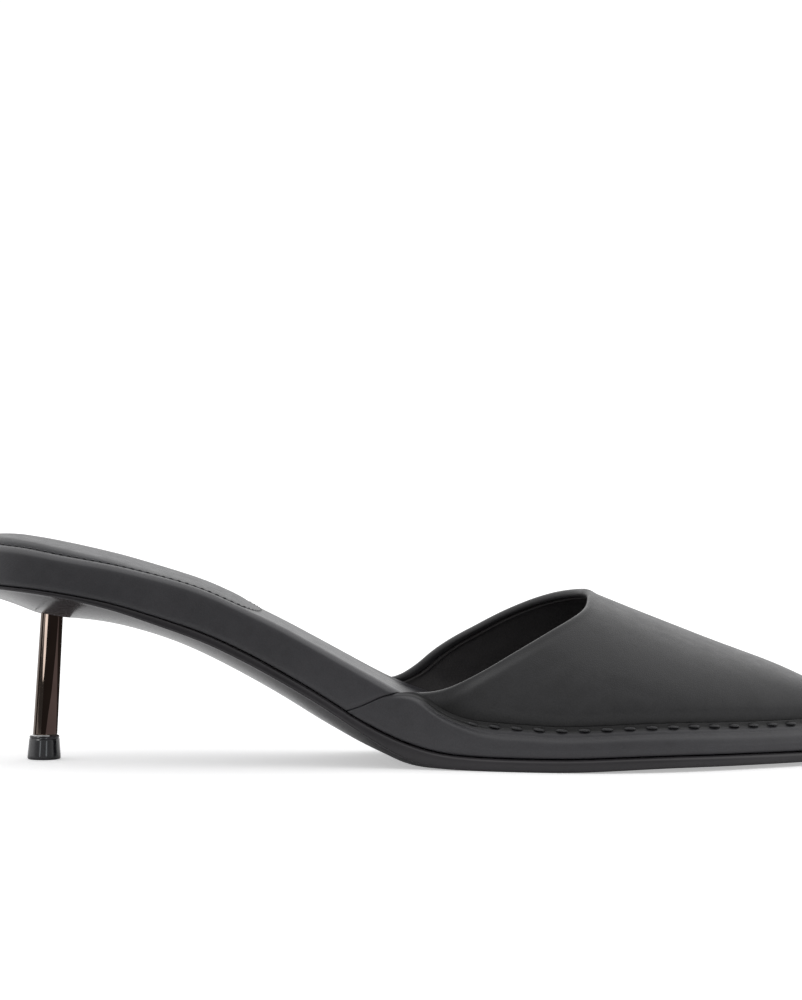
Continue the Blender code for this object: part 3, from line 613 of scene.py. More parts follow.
def make_platform():
    count = 260
    loop = sole_loop(count)
    side, t, _ = loop
    x0 = station_x(side, t)
    ahead = np.where(side > 0, MEDIAL_BACK, 0.0)

    def shift(sd, tt):
        """Behind the vamp the footbed's edge steps in to the lining."""
        x = station_x(sd, tt) + np.where(np.asarray(sd) > 0, MEDIAL_BACK, 0.0)
        return 4.7 * smooth(125.6, 131.5, x)

    def at(inset):
        return lambda sd, tt: shift(sd, tt) + inset * (1 - 0.35 * shift(sd, tt) / 4.7)

    cols = len(t)
    rows = []

    def add(inset, z, share=0.0):
        xy = sole_row(loop, count, inset, share)
        rows.append(np.column_stack([xy, z(xy[:, 0]) if callable(z) else z]))

    behind = 0.9 + 2.2 * smooth(107.0, 110.5, x0 + ahead)

    def inner(sd, tt):
        x = station_x(sd, tt) + np.where(np.asarray(sd) > 0, MEDIAL_BACK, 0.0)
        return np.maximum(0.9 + 2.2 * smooth(107.0, 110.5, x), shift(sd, tt) + 0.2)

    for share in (1.0, 0.5, 0.0):
        add(inner, lambda x: wall_low(x) + 0.15, share)
    top = rim_top(x0, side)
    foot = np.minimum(wall_foot(x0, side), top - 0.15)
    high = top - foot
    zb, zr = np.minimum(2.2, 0.25 * high), np.minimum(ROLL_DROP, 0.75 * high)
    add(inner, foot)

    def skin(z):
        """Wall surface at height z: the rolled rim above, the turned-in edge below."""
        tuck = 0.52 * (1 - np.clip((z - foot) / np.maximum(zb, 0.05), 0, 1)) ** 2.4
        span = np.clip((z - foot) / np.maximum(high, 0.5), 0, 1)
        belly = 0.22 * np.sin(math.pi * span) * smooth(2.0, 6.0, high)
        extra = roll(top - z) + tuck - belly

        def inset(sd, tt):
            if np.ndim(sd) == 0:
                return shift(sd, tt) + 0.0 * tt
            return shift(sd, tt) + extra * (1 - 0.35 * shift(sd, tt) / 4.7)

        return inset

    levels = [foot + zb * k for k in (0.0, 0.03, 0.08, 0.16, 0.28, 0.44, 0.66, 1.0)]
    levels += [foot + zb + (high - zb - zr) * k for k in (0.1, 0.2, 0.3, 0.4, 0.5, 0.6, 0.7, 0.8, 0.9)]
    levels += [top - zr * d / ROLL_DROP for d in (
        2.1, 1.9, 1.7, 1.55, 1.4, 1.3, 1.2, 1.1, 1.0, 0.85, 0.7, 0.55, 0.42, 0.33, 0.25, 0.17, 0.10, 0.05, 0.02, 0.0)]
    for z in levels:
        add(skin(z), z)

    # Top of the rim, the groove beside the pad, and the pad's seat, which ends under the pad's front.
    def seat(x):
        return SOCK_RECESS * (1 - smooth(SOCK_FRONT - 6.0, SOCK_FRONT - 0.5, x))

    for inset, part in ((3.2, 0.0), (3.3, 0.06), (3.38, 0.2), (3.44, 0.45), (3.5, 0.75), (3.55, 1.0)):
        xy = sole_row(loop, count, at(inset), 0.0)
        dip = np.where(part > 0, part * seat(xy[:, 0]), part * 0.5)
        rows.append(np.column_stack([xy, top - dip]))
    for share in (0.06, 0.14, 0.24, 0.36, 0.5, 0.66, 0.82, 1.0):
        xy = sole_row(loop, count, at(3.55), share)
        crown = 0.35 * (1 - (1 - share) ** 2) * smooth(80.0, 96.0, xy[:, 0]) * (1 - smooth(98.0, 116.0, xy[:, 0]))
        rows.append(np.column_stack([xy, rim_top(xy[:, 0], side, share) - seat(xy[:, 0]) + crown]))
    obj = make_object("footbed_wrap", np.vstack(rows), grid_faces(len(rows), cols, True), [WRAP])
    return rides(obj, "wrap_leather", "platform")


# ---------------------------------------------------------------- rand
RAND_SHAPE = [
    # inset, drop below the crease: the stitched band, set back, a ledge, then the shoulder
    (2.95, 1.2), (2.95, 0.45), (2.95, 0.15), (2.93, 0.0), (2.90, 0.25), (2.87, 0.55), (2.84, 0.85), (2.80, 1.15),
    (2.72, 1.42), (2.50, 1.68), (2.22, 1.92), (1.98, 2.18), (1.84, 2.5), (1.74, 2.80), (1.62, 2.98), (1.40, 3.16),
    (1.10, 3.42), (0.80, 3.70), (0.52, 4.00), (0.30, 4.32), (0.14, 4.72), (0.04, 5.22), (0.0, 5.8),
]
SEAM_SHAPE = [
    (2.75, 0.5), (1.9, 0.35), (1.3, 0.2), (0.9, 0.1), (0.66, 0.02), (0.5, 0.0), (0.4, 0.02), (0.32, 0.06),
    (0.26, 0.10), (0.21, 0.14), (0.17, 0.19), (0.13, 0.25), (0.10, 0.32), (0.075, 0.4), (0.055, 0.48), (0.04, 0.57),
    (0.03, 0.66), (0.02, 0.76), (0.01, 0.86), (0.005, 0.97), (0.0, 1.1), (0.0, 1.3), (0.0, 1.5),
]
STITCH_START, STITCH_PITCH = 146.0, 6.3


def seam_runs():
    """Running length of the vamp's stitch line on each side, with zero at its first stitch."""
    out = {}
    for side in (-1, 1):
        t = np.linspace(length_at(side, 112.0), 1.0, 4000)
        xy = edge_xy(side, t, SEAM_IN - 0.9)
        p = np.column_stack([xy, rand_top(xy[:, 0], side) - 0.95])
        run = np.concatenate([[0], np.cumsum(np.linalg.norm(np.diff(p, axis=0), axis=1))])
        first = np.interp(STITCH_START - (MEDIAL_BACK if side > 0 else 0), xy[:, 0], run)
        out[side] = (t, run - first, p)
    return out


RUNS = seam_runs()


def stitch_wave(side, t):
    """1 at the middle of each stitch, -1 halfway between two."""
    side, t = np.broadcast_arrays(np.asarray(side), np.asarray(t, float))
    run = np.where(side < 0, np.interp(t, RUNS[-1][0], RUNS[-1][1]), np.interp(t, RUNS[1][0], RUNS[1][1]))
    return np.cos(2 * math.pi * run / STITCH_PITCH)


def band_stations(rear_lateral, rear_medial, count):
    u = np.linspace(0, 1, count + 1)
    u = u - 0.55 * np.sin(2 * math.pi * u) / (2 * math.pi)
    a = length_at(-1, rear_lateral)
    b = length_at(1, rear_medial)
    lateral, medial = a + (1 - a) * u, b + (1 - b) * u
    t = np.concatenate([lateral, medial[::-1][1:]])
    side = np.concatenate([-np.ones(count + 1, int), np.ones(count, int)])
    return side, t


def make_rand():
    count = 230
    side, t = band_stations(111.45, 105.45, count)
    x = station_x(side, t)
    rear = x + np.where(side > 0, MEDIAL_BACK * (1 - smooth(132.0, 168.0, x)), 0.0)
    low, high = wall_low(x) + seam_gap(x), rand_top(x, side)
    tall = np.maximum(high - low, 0.03)
    blend = smooth(120.5, 134.0, rear)
    # The last argument of add is painted seam shade: full in the set-back stitched band just below the crease, fading
    # further down, none at the rand's rear end. It stands in for the shadow in the seam.
    rows, painted_shade = [], []

    def add(inset, z, shade_depth=0.0):
        rows.append(np.column_stack([edge_xy(side, t, inset), z]))
        painted_shade.append(shade_depth * blend)

    add(RAND_T + 0 * x, low, 1.0)
    step = 0.60 + 0.40 * smooth(139.0, 153.0, rear)
    dimple = (0.5 - 0.5 * stitch_wave(side, t)) ** 2 * smooth(138.0, 146.0, rear)
    for (i1, d1), (i0, d0) in zip(RAND_SHAPE, SEAM_SHAPE):
        squeeze = np.minimum(1.0, tall / (1.7 + 4.7 * blend))
        inset = i0 + (i1 - i0) * blend
        inset = inset + 0.12 * dimple * math.exp(-(((d1 - 0.95) / 0.5) ** 2)) * (d1 > 0.2)
        drop = (d0 + (d1 * step - d0) * blend) * squeeze
        reach = 1.2 + 1.1 * np.exp(-(((x - 139.0) / 11.0) ** 2))
        add(inset, high - drop, 1 - smooth(0.0, 1.1, d1 - reach))
    # The face, a little full, then turned in under the sole's edge.
    last = rows[-1][:, 2]
    for k in (0.2, 0.4, 0.6, 0.8):
        z = last + (low + 1.7 * np.minimum(1.0, tall / 6.0) - last) * k
        add(-0.10 * math.sin(math.pi * k) * blend, np.maximum(z, low))
    part = np.minimum(1.0, tall / 6.0)
    for inset, up in ((0.0, 1.7), (0.03, 1.2), (0.09, 0.85), (0.18, 0.55), (0.29, 0.32), (0.41, 0.14), (0.52, 0.04)):
        add(inset * part, np.maximum(np.minimum(last, low + up * part), low + 0.002 * up))
    add(0.62 * part, low)
    n = len(rows)
    cols = len(t)
    faces = grid_faces(n, cols)
    faces += [((n - 1) * cols + c, (n - 1) * cols + c + 1, c + 1, c) for c in range(cols - 1)]
    faces.append(tuple(r * cols for r in range(n)))
    faces.append(tuple(r * cols + cols - 1 for r in range(n)))
    obj = make_object("rand_strip", np.vstack(rows), faces, [WRAP], crease=np.concatenate(painted_shade))
    return rides(obj, "wrap_leather", "rand")


# ---------------------------------------------------------------- vamp
def vamp_point(side, t, v):
    """Outer face of the vamp: v is 0 at the crease and 1 on the crest."""
    base = edge_xy(side, t, SEAM_IN)
    pull = smooth(205.0, LENGTH - SEAM_IN, base[..., 0])
    top_s = base[..., 0] - (LENGTH - SEAM_IN - NOSE_FRONT) * pull
    top_y = crest_y(top_s)
    low = rand_top(base[..., 0], side) - 0.3
    high = crest_z(top_s)
    angle = 0.5 * math.pi * v
    part_in = 1 - np.cos(angle) ** 1.05
    # Towards the nose the rows run forward, and meet the crest at its own slope.
    slope = crest_z(top_s - 0.5) - crest_z(top_s + 0.5)
    lean = 1.65 * slope * (base[..., 0] - top_s) / np.maximum(high - low, 1.0)
    part_up = np.sin(angle) ** 0.97 - np.clip(lean, 0.0, 2.0) * v**3 * (1 - v)
    return np.stack([
        base[..., 0] + (top_s - base[..., 0]) * part_in,
        base[..., 1] + (top_y - base[..., 1]) * part_in,
        low + (high - low) * part_up,
    ], -1)


def throat_at(side, v):
    rear = 118.0 if side > 0 else 127.0
    lo, hi = float(length_at(side, rear)), float(length_at(side, 196.0))
    for _ in range(40):
        mid = 0.5 * (lo + hi)
        x, y, z = vamp_point(side, mid, v)
        if z > throat[side](x) or x < rear:
            lo = mid
        else:
            hi = mid
    return 0.5 * (lo + hi)


EDGE_R = 1.3
NEAR_ROWS = [1.3, 1.42, 1.56, 1.7, 1.88, 2.05, 2.2, 2.32, 2.4, 2.48, 2.6, 2.8, 3.05, 3.35, 3.7, 4.1, 4.6, 5.3, 6.2,
             7.4, 9.0]
GROOVE_AT = 2.4


def vamp_grid():
    """Outer face as a grid: rows from the throat to the toe, columns from the lateral
    base over the crest to the medial base, with each point's distance from the throat edge."""
    around, far_rows = 72, 92
    vs = np.linspace(0, 1, around + 1)
    throat_line = {}
    starts = {}
    for side in (-1, 1):
        starts[side] = np.array([throat_at(side, v) for v in vs])
    # The throat's front is rounded off across the crest.
    ends = np.concatenate([edge_xy(-1, starts[-1], SEAM_IN)[:, 0], edge_xy(1, starts[1], SEAM_IN)[::-1, 0][1:]])
    high = np.concatenate([vs, vs[::-1][1:]])
    ends = ends + (blurred(ends, 3.2) - ends) * smooth(0.55, 0.85, high)
    grid_t = np.linspace(0, 1, 4000)
    starts[-1] = np.interp(ends[:around + 1], edge_xy(-1, grid_t, SEAM_IN)[:, 0], grid_t)
    starts[1] = np.interp(ends[around:][::-1], edge_xy(1, grid_t, SEAM_IN)[:, 0], grid_t)
    for side in (-1, 1):
        fine_v = np.linspace(0, 1, 900)
        fine_t = np.interp(fine_v, vs, starts[side])
        throat_line[side] = vamp_point(side, fine_t, fine_v)
    line = np.vstack([throat_line[-1], throat_line[1][::-1]])
    columns, reach, vcol, scol = [], [], [], []
    order = [(-1, k) for k in range(around + 1)] + [(1, k) for k in range(around - 1, -1, -1)]
    for side, k in order:
        v, t0 = vs[k], starts[side][k]
        tt = t0 + (1 - t0) * np.linspace(0, 1, 500) ** 1.7
        pts = vamp_point(side, tt, v)
        d = np.sqrt(((pts[:, None, :] - line[None, ::3, :]) ** 2).sum(-1)).min(1)
        d = np.maximum.accumulate(d + 1e-6 * np.arange(len(d)))
        near = np.interp(NEAR_ROWS, d, tt)
        far = near[-1] + (1 - near[-1]) * (np.linspace(0, 1, far_rows + 1)[1:] ** 1.12)
        ts = np.concatenate([near, far])
        columns.append(vamp_point(side, ts, v))
        reach.append(np.interp(ts, tt, d))
        vcol.append(v)
        scol.append(side)
    grid = np.array(columns).transpose(1, 0, 2)
    return grid, np.array(reach).T, np.array(vcol), np.array(scol)


def grid_normals(grid):
    """Outward normals of the vamp's grid; at the nose both sides share a row."""
    down = np.empty_like(grid)
    down[1:-1] = grid[2:] - grid[:-2]
    down[0] = grid[1] - grid[0]
    down[-1] = grid[-2][::-1] - grid[-2]
    across = np.empty_like(grid)
    across[:, 1:-1] = grid[:, 2:] - grid[:, :-2]
    across[:, 0] = grid[:, 1] - grid[:, 0]
    across[:, -1] = grid[:, -1] - grid[:, -2]
    n = np.cross(down, across)
    # Along the nose row the surface runs on to the other side.
    n[-1] = n[-2] + n[-2][::-1]
    n /= np.maximum(np.linalg.norm(n, axis=-1)[..., None], 1e-12)
    # Outward is away from the middle of the forepart.
    centre = np.array([200.0, 1.5, 8.0])
    flip = np.sign(((grid - centre) * n).sum(-1))
    if (flip > 0).mean() < 0.5:
        n = -n
    return n


def evened(values, share, rounds):
    """Grid values averaged with their neighbours where share says so, across the nose row too."""
    for _ in range(rounds):
        up = np.concatenate([values[:1], values[:-1]])
        down = np.concatenate([values[1:], values[-2:-1, ::-1]])
        left = np.concatenate([values[:, :1], values[:, :-1]], 1)
        right = np.concatenate([values[:, 1:], values[:, -1:]], 1)
        mean = 0.25 * (up + down + left + right)
        values = values + (mean - values) * (0.5 * share)[..., None]
        values[-1] = 0.5 * (values[-1] + values[-1][::-1])
    return values


WRINKLES = [
    # x, z of the middle, half length, half width, turn in degrees, height (minus is a trough), side
    (178.0, 20.5, 9.0, 1.7, 24.0, -0.16, -1),
    (184.5, 18.0, 10.0, 1.9, 12.0, 0.14, -1),
    (190.0, 22.0, 8.0, 1.6, -18.0, -0.12, -1),
    (168.0, 24.5, 9.0, 2.2, 32.0, 0.12, -1),
    (196.0, 16.5, 9.0, 1.5, 6.0, -0.12, -1),
    (152.0, 20.0, 7.0, 2.0, 38.0, -0.14, -1),
    (146.0, 18.5, 6.0, 1.7, 34.0, 0.12, -1),
    (176.0, 21.0, 9.0, 1.8, 20.0, -0.14, 1),
    (186.0, 18.5, 10.0, 2.0, 8.0, 0.14, 1),
    (158.0, 24.0, 8.0, 2.0, 34.0, -0.12, 1),
]


def make_vamp():
    grid, reach, v, side = vamp_grid()
    rows, cols, _ = grid.shape
    # The nose is evened out, so that the crest runs round into it.
    ease = smooth(232.0, 250.0, grid[..., 0]) * smooth(0.0, 0.3, v)[None, :]
    grid = evened(grid, ease, 30)
    n = evened(grid_normals(grid), ease, 60)
    n /= np.linalg.norm(n, axis=-1)[..., None]
    # Main creases, soft troughs and ridges.
    rise = np.zeros((rows, cols))
    for cx, cz, half, wide, turn, height, on in WRINKLES:
        a = math.radians(turn)
        dx, dz = grid[..., 0] - cx, grid[..., 2] - cz
        along = dx * math.cos(a) + dz * math.sin(a)
        off = -dx * math.sin(a) + dz * math.cos(a) + 0.02 * along**2 / half
        rise += height * np.exp(-(along / half) ** 2 - (off / wide) ** 2) * (side == on)[None, :]
    # The leather bulges over its seam, most at the rear, and is drawn in a little by each stitch.
    x = grid[..., 0]
    above = grid[..., 2] - np.where(side[None, :] < 0, grid[:, :1, 2], grid[:, -1:, 2])
    rear = np.exp(-(((x - 144.0) / 12.0) ** 2))
    full = 1.05 + 0.65 * rear - 0.35 * smooth(225.0, 250.0, x)
    rise += full * smooth(0.0, 1.0, above / (4.2 + 1.6 * rear)) * (1 - smooth(6.5, 24.0, above))
    # Painted seam shade: darkest on the vamp right above the rand, fading upward, forward of about s 130 and away from
    # the throat edge; it stands in for the shadow above the rand.
    painted_shade = 0.65 * np.exp(-((above / (1.3 + 1.2 * rear)) ** 2)) + 0.35 * np.exp(-((above / 4.6) ** 2))
    painted_shade *= smooth(124.0, 136.0, x) * smooth(2.0, 6.0, reach)
    pull = np.stack([stitch_wave(-1, length_at(-1, x[:, 0])), stitch_wave(1, length_at(1, x[:, -1]))], 1)
    pull = np.where(side[None, :] < 0, pull[:, :1], pull[:, 1:])
    rise += 0.09 * pull * np.exp(-((above - 1.0) / 1.3) ** 2) * smooth(140.0, 150.0, x)
    grid = grid + n * (rise * smooth(1.2, 4.5, reach))[..., None]
    n = evened(grid_normals(grid), ease, 60)
    n /= np.linalg.norm(n, axis=-1)[..., None]

    # Inner face: folded strip, a groove, then the lining's edge.
    d = reach
    bead = np.exp(-((np.maximum(d, 1.3) - 1.3) / 1.3) ** 2)
    grid = grid + n * (0.30 * bead)[..., None]
    thick = (
        UPPER_T
        + 0.95 * bead
        - 0.55 * np.exp(-((d - GROOVE_AT) / 0.17) ** 2)
        + 0.42 * np.exp(-np.maximum(0, d - 2.85) / 1.6) * smooth(GROOVE_AT, 2.85, d)
    )
    inner = grid - n * thick[..., None]

    # Lasting allowance, straight down behind the rand.
    def skirts(face):
        out = []
        for c in (0, -1):
            base = face[:, c]
            foot = wall_low(base[:, 0]) + 0.5
            out.append([np.column_stack([base[:, 0], base[:, 1], base[:, 2] + (foot - base[:, 2]) * k]) for k in (0.35, 1.0)])
        lateral, medial = out
        return np.concatenate([
            lateral[1][:, None], lateral[0][:, None], face, medial[0][:, None], medial[1][:, None],
        ], 1)

    outer_all, inner_all = skirts(grid), skirts(inner)
    cols = outer_all.shape[1]
    # Round fold along the throat.
    o, i = outer_all[0], inner_all[0]
    mid, half = 0.5 * (o + i), 0.5 * (o - i)
    out_dir = o - outer_all[1]
    axis = half / np.linalg.norm(half, axis=1)[:, None]
    out_dir = out_dir - axis * (out_dir * axis).sum(1)[:, None]
    out_dir /= np.linalg.norm(out_dir, axis=1)[:, None]
    fold = [mid + half * math.cos(a) + out_dir * EDGE_R * math.sin(a) for a in np.radians(np.arange(18, 180, 18))]
    stack = [outer_all[r] for r in range(rows - 1, -1, -1)] + fold + [inner_all[r] for r in range(rows)]
    points = np.vstack(stack)
    total = len(stack)
    faces = grid_faces(total, cols)
    marks = []
    inner_from = rows + len(fold)
    lining_row = inner_from + int(np.searchsorted(NEAR_ROWS, GROOVE_AT))
    for r in range(total - 1):
        marks += [1 if r >= lining_row else 0] * (cols - 1)
    # Bottom edges of the two faces are joined, as the lasted edge is.
    for r in range(rows - 1):
        a, b = rows - 1 - r, rows - 2 - r
        p, q = inner_from + r, inner_from + r + 1
        for c in (0, cols - 1):
            faces.append((a * cols + c, b * cols + c, q * cols + c, p * cols + c))
            marks.append(1)
    for c in (0, cols - 1):
        faces.append(tuple(k * cols + c for k in range(rows - 1, inner_from + 1)))
        marks.append(0)
    # The painted seam shade reaches the skirts; the fold and the inner face get none.
    face_painted_shade = np.concatenate([painted_shade[:, :1], painted_shade[:, :1], painted_shade, painted_shade[:, -1:], painted_shade[:, -1:]], 1)
    blank = np.zeros((len(fold) + rows, cols))
    obj = make_object("vamp", points, faces, [VAMP, LINING], marks, weld=2e-6,
                      crease=np.vstack([face_painted_shade[::-1], blank]).ravel())
    return rides(obj, "vamp_leather", "upper")


# ---------------------------------------------------------------- stitches
def stitch_mesh(name, stitches, radius, material, around=8, along=7):
    """Threads lying on a surface: each is (start, end, up), with its ends dipping in."""
    points, faces = [], []
    for start, end, up in stitches:
        start, end, up = (np.asarray(q, float) for q in (start, end, up))
        axis = end - start
        length = np.linalg.norm(axis)
        axis = axis / length
        up = up - axis * (up @ axis)
        up /= np.linalg.norm(up)
        cross = np.cross(axis, up)
        base = len(points)
        for k in range(along):
            u = k / (along - 1)
            dip = (abs(2 * u - 1)) ** 3
            centre = start + axis * length * u - up * radius * 1.7 * dip
            r = radius * (1 - 0.45 * dip)
            for a in range(around):
                w = 2 * math.pi * a / around
                points.append(centre + r * (math.cos(w) * up + math.sin(w) * cross))
        for k in range(along - 1):
            for a in range(around):
                b = (a + 1) % around
                faces.append((base + k * around + a, base + k * around + b, base + (k + 1) * around + b,
                              base + (k + 1) * around + a))
        faces.append(tuple(base + a for a in range(around)))
        faces.append(tuple(base + (along - 1) * around + a for a in range(around)))
    return make_object(name, np.array(points), faces, [material])


def make_vamp_stitches():
    found = []
    for side in (-1, 1):
        t, run, p = RUNS[side]
        at = 0.0
        while at + STITCH_PITCH < run[-1]:
            q = [np.array([np.interp(at + o, run, p[:, k]) for k in range(3)]) for o in (-1.75, 1.75)]
            q[0][2] += 0.16
            q[1][2] -= 0.16
            f = np.interp(at, run, t)
            n = -(edge_xy(side, f, 1.0) - edge_xy(side, f, 0.0))
            found.append((q[0], q[1], (n[0], n[1], 0.35)))
            at += STITCH_PITCH
    return rides(stitch_mesh("vamp_stitches", found, 0.42, THREAD, 10, 9), "vamp_leather")


# ---------------------------------------------------------------- heel pad
PAD_FRONT = 77.0


def pad_edge(side, u, inset):
    """Edge of the pad from the back of the heel (0) to the middle of its front (1)."""
    last = float(length_at(side, PAD_FRONT))
    k = np.clip(u / 0.8, 0, 1)
    xy = edge_xy(side, last * (0.35 * k + 0.65 * k * k), inset)
    corner = edge_xy(side, last, inset)
    mid_y = 0.5 * (edge_xy(-1, float(length_at(-1, PAD_FRONT)), inset)[1]
                   + edge_xy(1, float(length_at(1, PAD_FRONT)), inset)[1])
    a = 0.5 * math.pi * np.clip((u - 0.8) / 0.2, 0, 1)
    reach = SOCK_FRONT + 6.3 - inset - corner[0]
    front = np.stack([corner[0] + reach * np.sin(a) ** 0.9, mid_y + (corner[1] - mid_y) * np.cos(a) ** 0.62], -1)
    return np.where((u > 0.8)[..., None], front, xy)


def pad_row(side, u, inset, share):
    xy = pad_edge(side, u, inset)
    x = 20.0 + 58.0 * u
    hub = np.stack([x, 0.5 * (edge_xy(-1, length_at(-1, x), 0.0)[..., 1] + edge_xy(1, length_at(1, x), 0.0)[..., 1])], -1)
    return xy + (hub - xy) * share


def pad_across(x, y):
    """How far y lies across the footbed: 0 on the lateral edge, 1 on the medial one."""
    lateral = edge_xy(-1, length_at(-1, x), 0.0)[..., 1]
    medial = edge_xy(1, length_at(1, x), 0.0)[..., 1]
    return np.clip((y - lateral) / (medial - lateral), 0.0, 1.0)


def pad_height(x, y, swell):
    return rim(x) + cant(x) * pad_across(x, y) - SOCK_RECESS + swell


def pad_crown(x):
    return 0.45 + 1.65 * (1 - smooth(16.0, 66.0, x))


PAD_LOW = [
    # inset from the pad's edge, height over its seat, share of the crown: medial side
    (0.12, 0.08, 0.0), (0.0, 0.3, 0.0), (0.0, 0.75, 0.0), (0.08, 1.0, 0.0), (0.28, 1.2, 0.0), (0.5, 1.27, 0.0),
    (0.8, 1.3, 0.0), (1.1, 1.3, 0.0), (1.45, 1.3, 0.02), (1.85, 1.34, 0.06), (2.3, 1.42, 0.15), (2.8, 1.52, 0.25),
    (3.3, 1.62, 0.37),
]
PAD_FULL = [
    # the same with height as a share of the whole swell: the fuller lateral side
    (0.12, 0.0), (0.0, 0.0), (0.0, 0.0), (0.05, 0.04), (0.14, 0.10), (0.28, 0.17), (0.5, 0.26), (0.8, 0.35),
    (1.15, 0.435), (1.6, 0.52), (2.1, 0.60), (2.7, 0.685), (3.3, 0.75),
]


def pad_lateral(y):
    return 1 - smooth(-9.0, 7.0, y)


def make_pad():
    count = 120
    u = np.linspace(0, 1, count + 1)
    u = np.where(u < 0.8, u, u)
    uu = np.concatenate([u, u[-2:0:-1]])
    side = np.concatenate([-np.ones(count + 1, int), np.ones(count - 1, int)])

    def line(inset, share, swell):
        xy = np.where((side < 0)[:, None], pad_row(-1, uu, inset, share), pad_row(1, uu, inset, share))
        x = xy[:, 0]
        flat = smooth(SOCK_FRONT - 5.0, SOCK_FRONT + 0.5, x)
        lift = swell(x, xy[:, 1]) * (1 - 0.45 * flat) + 0.62 * flat
        return np.column_stack([xy, pad_height(x, xy[:, 1], lift)])

    rows = [line(SOCK_IN + 0.3, s, lambda x, y: 0.0 * x + 0.05) for s in (1.0, 0.5, 0.0)]
    for k, (low, full) in enumerate(zip(PAD_LOW, PAD_FULL)):
        def swell(x, y, low=low, full=full, k=k):
            plain = low[1] + low[2] * pad_crown(x)
            total = 1.74 + pad_crown(x)
            tilt = cant(x)
            round_side = low[1] if k < 3 else 1.0 + (total - 1.0 + 0.5 * tilt) * full[1] - tilt * pad_across(x, y)
            return plain + (round_side - plain) * pad_lateral(y)

        rows.append(line(SOCK_IN + full[0], 0.0, swell))
    for share in (0.05, 0.11, 0.18, 0.26, 0.36, 0.47, 0.6, 0.74, 0.88, 1.0):
        def swell(x, y, s=share):
            total = 1.74 + pad_crown(x)
            plain = 1.62 + 0.12 * (1 - (1 - s) ** 3) + (0.37 + 0.63 * (1 - (1 - s) ** 2.4)) * pad_crown(x)
            tilt = cant(x)
            round_side = 1.0 + (total - 1.0 + 0.5 * tilt) * (0.75 + 0.25 * (1 - (1 - s) ** 6)) - tilt * pad_across(x, y)
            return plain + (round_side - plain) * pad_lateral(y) * (1 - s)

        rows.append(line(SOCK_IN + 3.3, share, swell))
    obj = make_object("heel_pad", np.vstack(rows), grid_faces(len(rows), len(uu), True), [SOCK])
    rides(obj, "sock_leather", "insole")

    stitches = []
    for sd in (-1, 1):
        fu = np.linspace(0, 1, 2400)
        xy = pad_row(sd, fu, SOCK_IN + 0.20, 0.0)
        x = xy[:, 0]
        flat = smooth(SOCK_FRONT - 5.0, SOCK_FRONT + 0.5, x)
        side_on = pad_lateral(xy[:, 1])
        round_side = 1.0 + (0.74 + pad_crown(x) + 0.5 * cant(x)) * 0.15 - cant(x) * pad_across(x, xy[:, 1])
        h = 1.16 * (1 - side_on) + round_side * side_on
        z = pad_height(x, xy[:, 1], (h + 0.02) * (1 - 0.45 * flat) + 0.62 * flat)
        p = np.column_stack([xy, z])
        run = np.concatenate([[0], np.cumsum(np.linalg.norm(np.diff(p, axis=0), axis=1))])
        at = 1.15
        while at + 1.0 < run[-1]:
            q = [np.array([np.interp(at + o, run, p[:, k]) for k in range(3)]) for o in (-0.8, 0.8)]
            f = np.interp(at, run, fu)
            n = -(pad_row(sd, f, 1.0, 0.0) - pad_row(sd, f, 0.0, 0.0))
            stitches.append((q[0], q[1], (n[0], n[1], 0.8)))
            at += 2.25
    return obj, rides(stitch_mesh("pad_stitches", stitches, 0.21, THREAD, 6, 6), "sock_leather")


# ---------------------------------------------------------------- heel
def turned(name, profile, axis_at, material, sharp=35.0, segments=128):
    """Profile of (radius, height) round an axis whose plan place depends on height."""
    points, faces = [], []
    cols = segments
    for r, z in profile:
        cx, cy = axis_at(z)
        for a in range(segments):
            w = 2 * math.pi * a / segments
            points.append((cx + r * math.cos(w), cy + r * math.sin(w), z))
    faces = grid_faces(len(profile), cols, True)
    return make_object(name, np.array(points), faces, [material], sharp=sharp)


def make_heel():
    def lean(z):
        return PIN_FOOT + PIN_LEAN * z, 0.0

    def radius(z):
        return PIN_R_LOW + (PIN_R_TOP - PIN_R_LOW) * (z - 7.35) / (45.6 - 7.35)

    profile = [(0.0, 6.9), (radius(7.0) - 0.35, 6.9), (radius(7.0) - 0.12, 6.96), (radius(7.0), 7.15)]
    profile += [(radius(z), z) for z in np.linspace(7.4, 44.6, 30)]
    profile += [(radius(45.0) - 0.1, 45.3), (radius(45.0) - 0.4, 45.5), (0.0, 45.5)]
    pin = turned("heel_tube", profile, lean, METAL)
    rides(pin, "pin_metal", "heel_pin")
    low, top = LIFT_R_LOW, LIFT_R_TOP
    profile = [
        (0.0, 6.75), (3.9, 6.75), (top - 0.3, 6.78), (top - 0.12, 6.70), (top - 0.02, 6.52), (top + 0.0, 6.3),
        (top - 0.10, 6.12), (top - 0.10, 6.02), (top + 0.03, 5.86), (top + 0.08, 5.5), (top + 0.16, 4.4),
        (top + 0.25, 3.2), (top + 0.36, 2.0), (low - 0.03, 1.0), (low, 0.5), (low - 0.04, 0.22), (low - 0.16, 0.06),
        (low - 0.35, 0.0), (0.0, 0.0),
    ]
    lift = turned("heel_tip", profile, lambda z: (PIN_FOOT + 0.1 + 0.02 * z, 0.0), TIP)
    rides(lift, "lift_plastic", "top_lift")


make_outsole()
make_platform()
make_rand()
make_vamp()
make_vamp_stitches()
make_pad()
make_heel()


# ---------------------------------------------------------------- stage, light and camera
FRONT_DARK, FRONT_LIT, FRONT_LEVEL = -0.16, -0.06, 0.15
SKY = ((-1.0, 0.46), (-0.62, 0.5), (-0.38, 0.82), (-0.12, 1.12), (0.15, 1.10), (0.4, 1.02), (0.72, 1.0), (1.0, 1.0))
TOP_POWER = 1.5


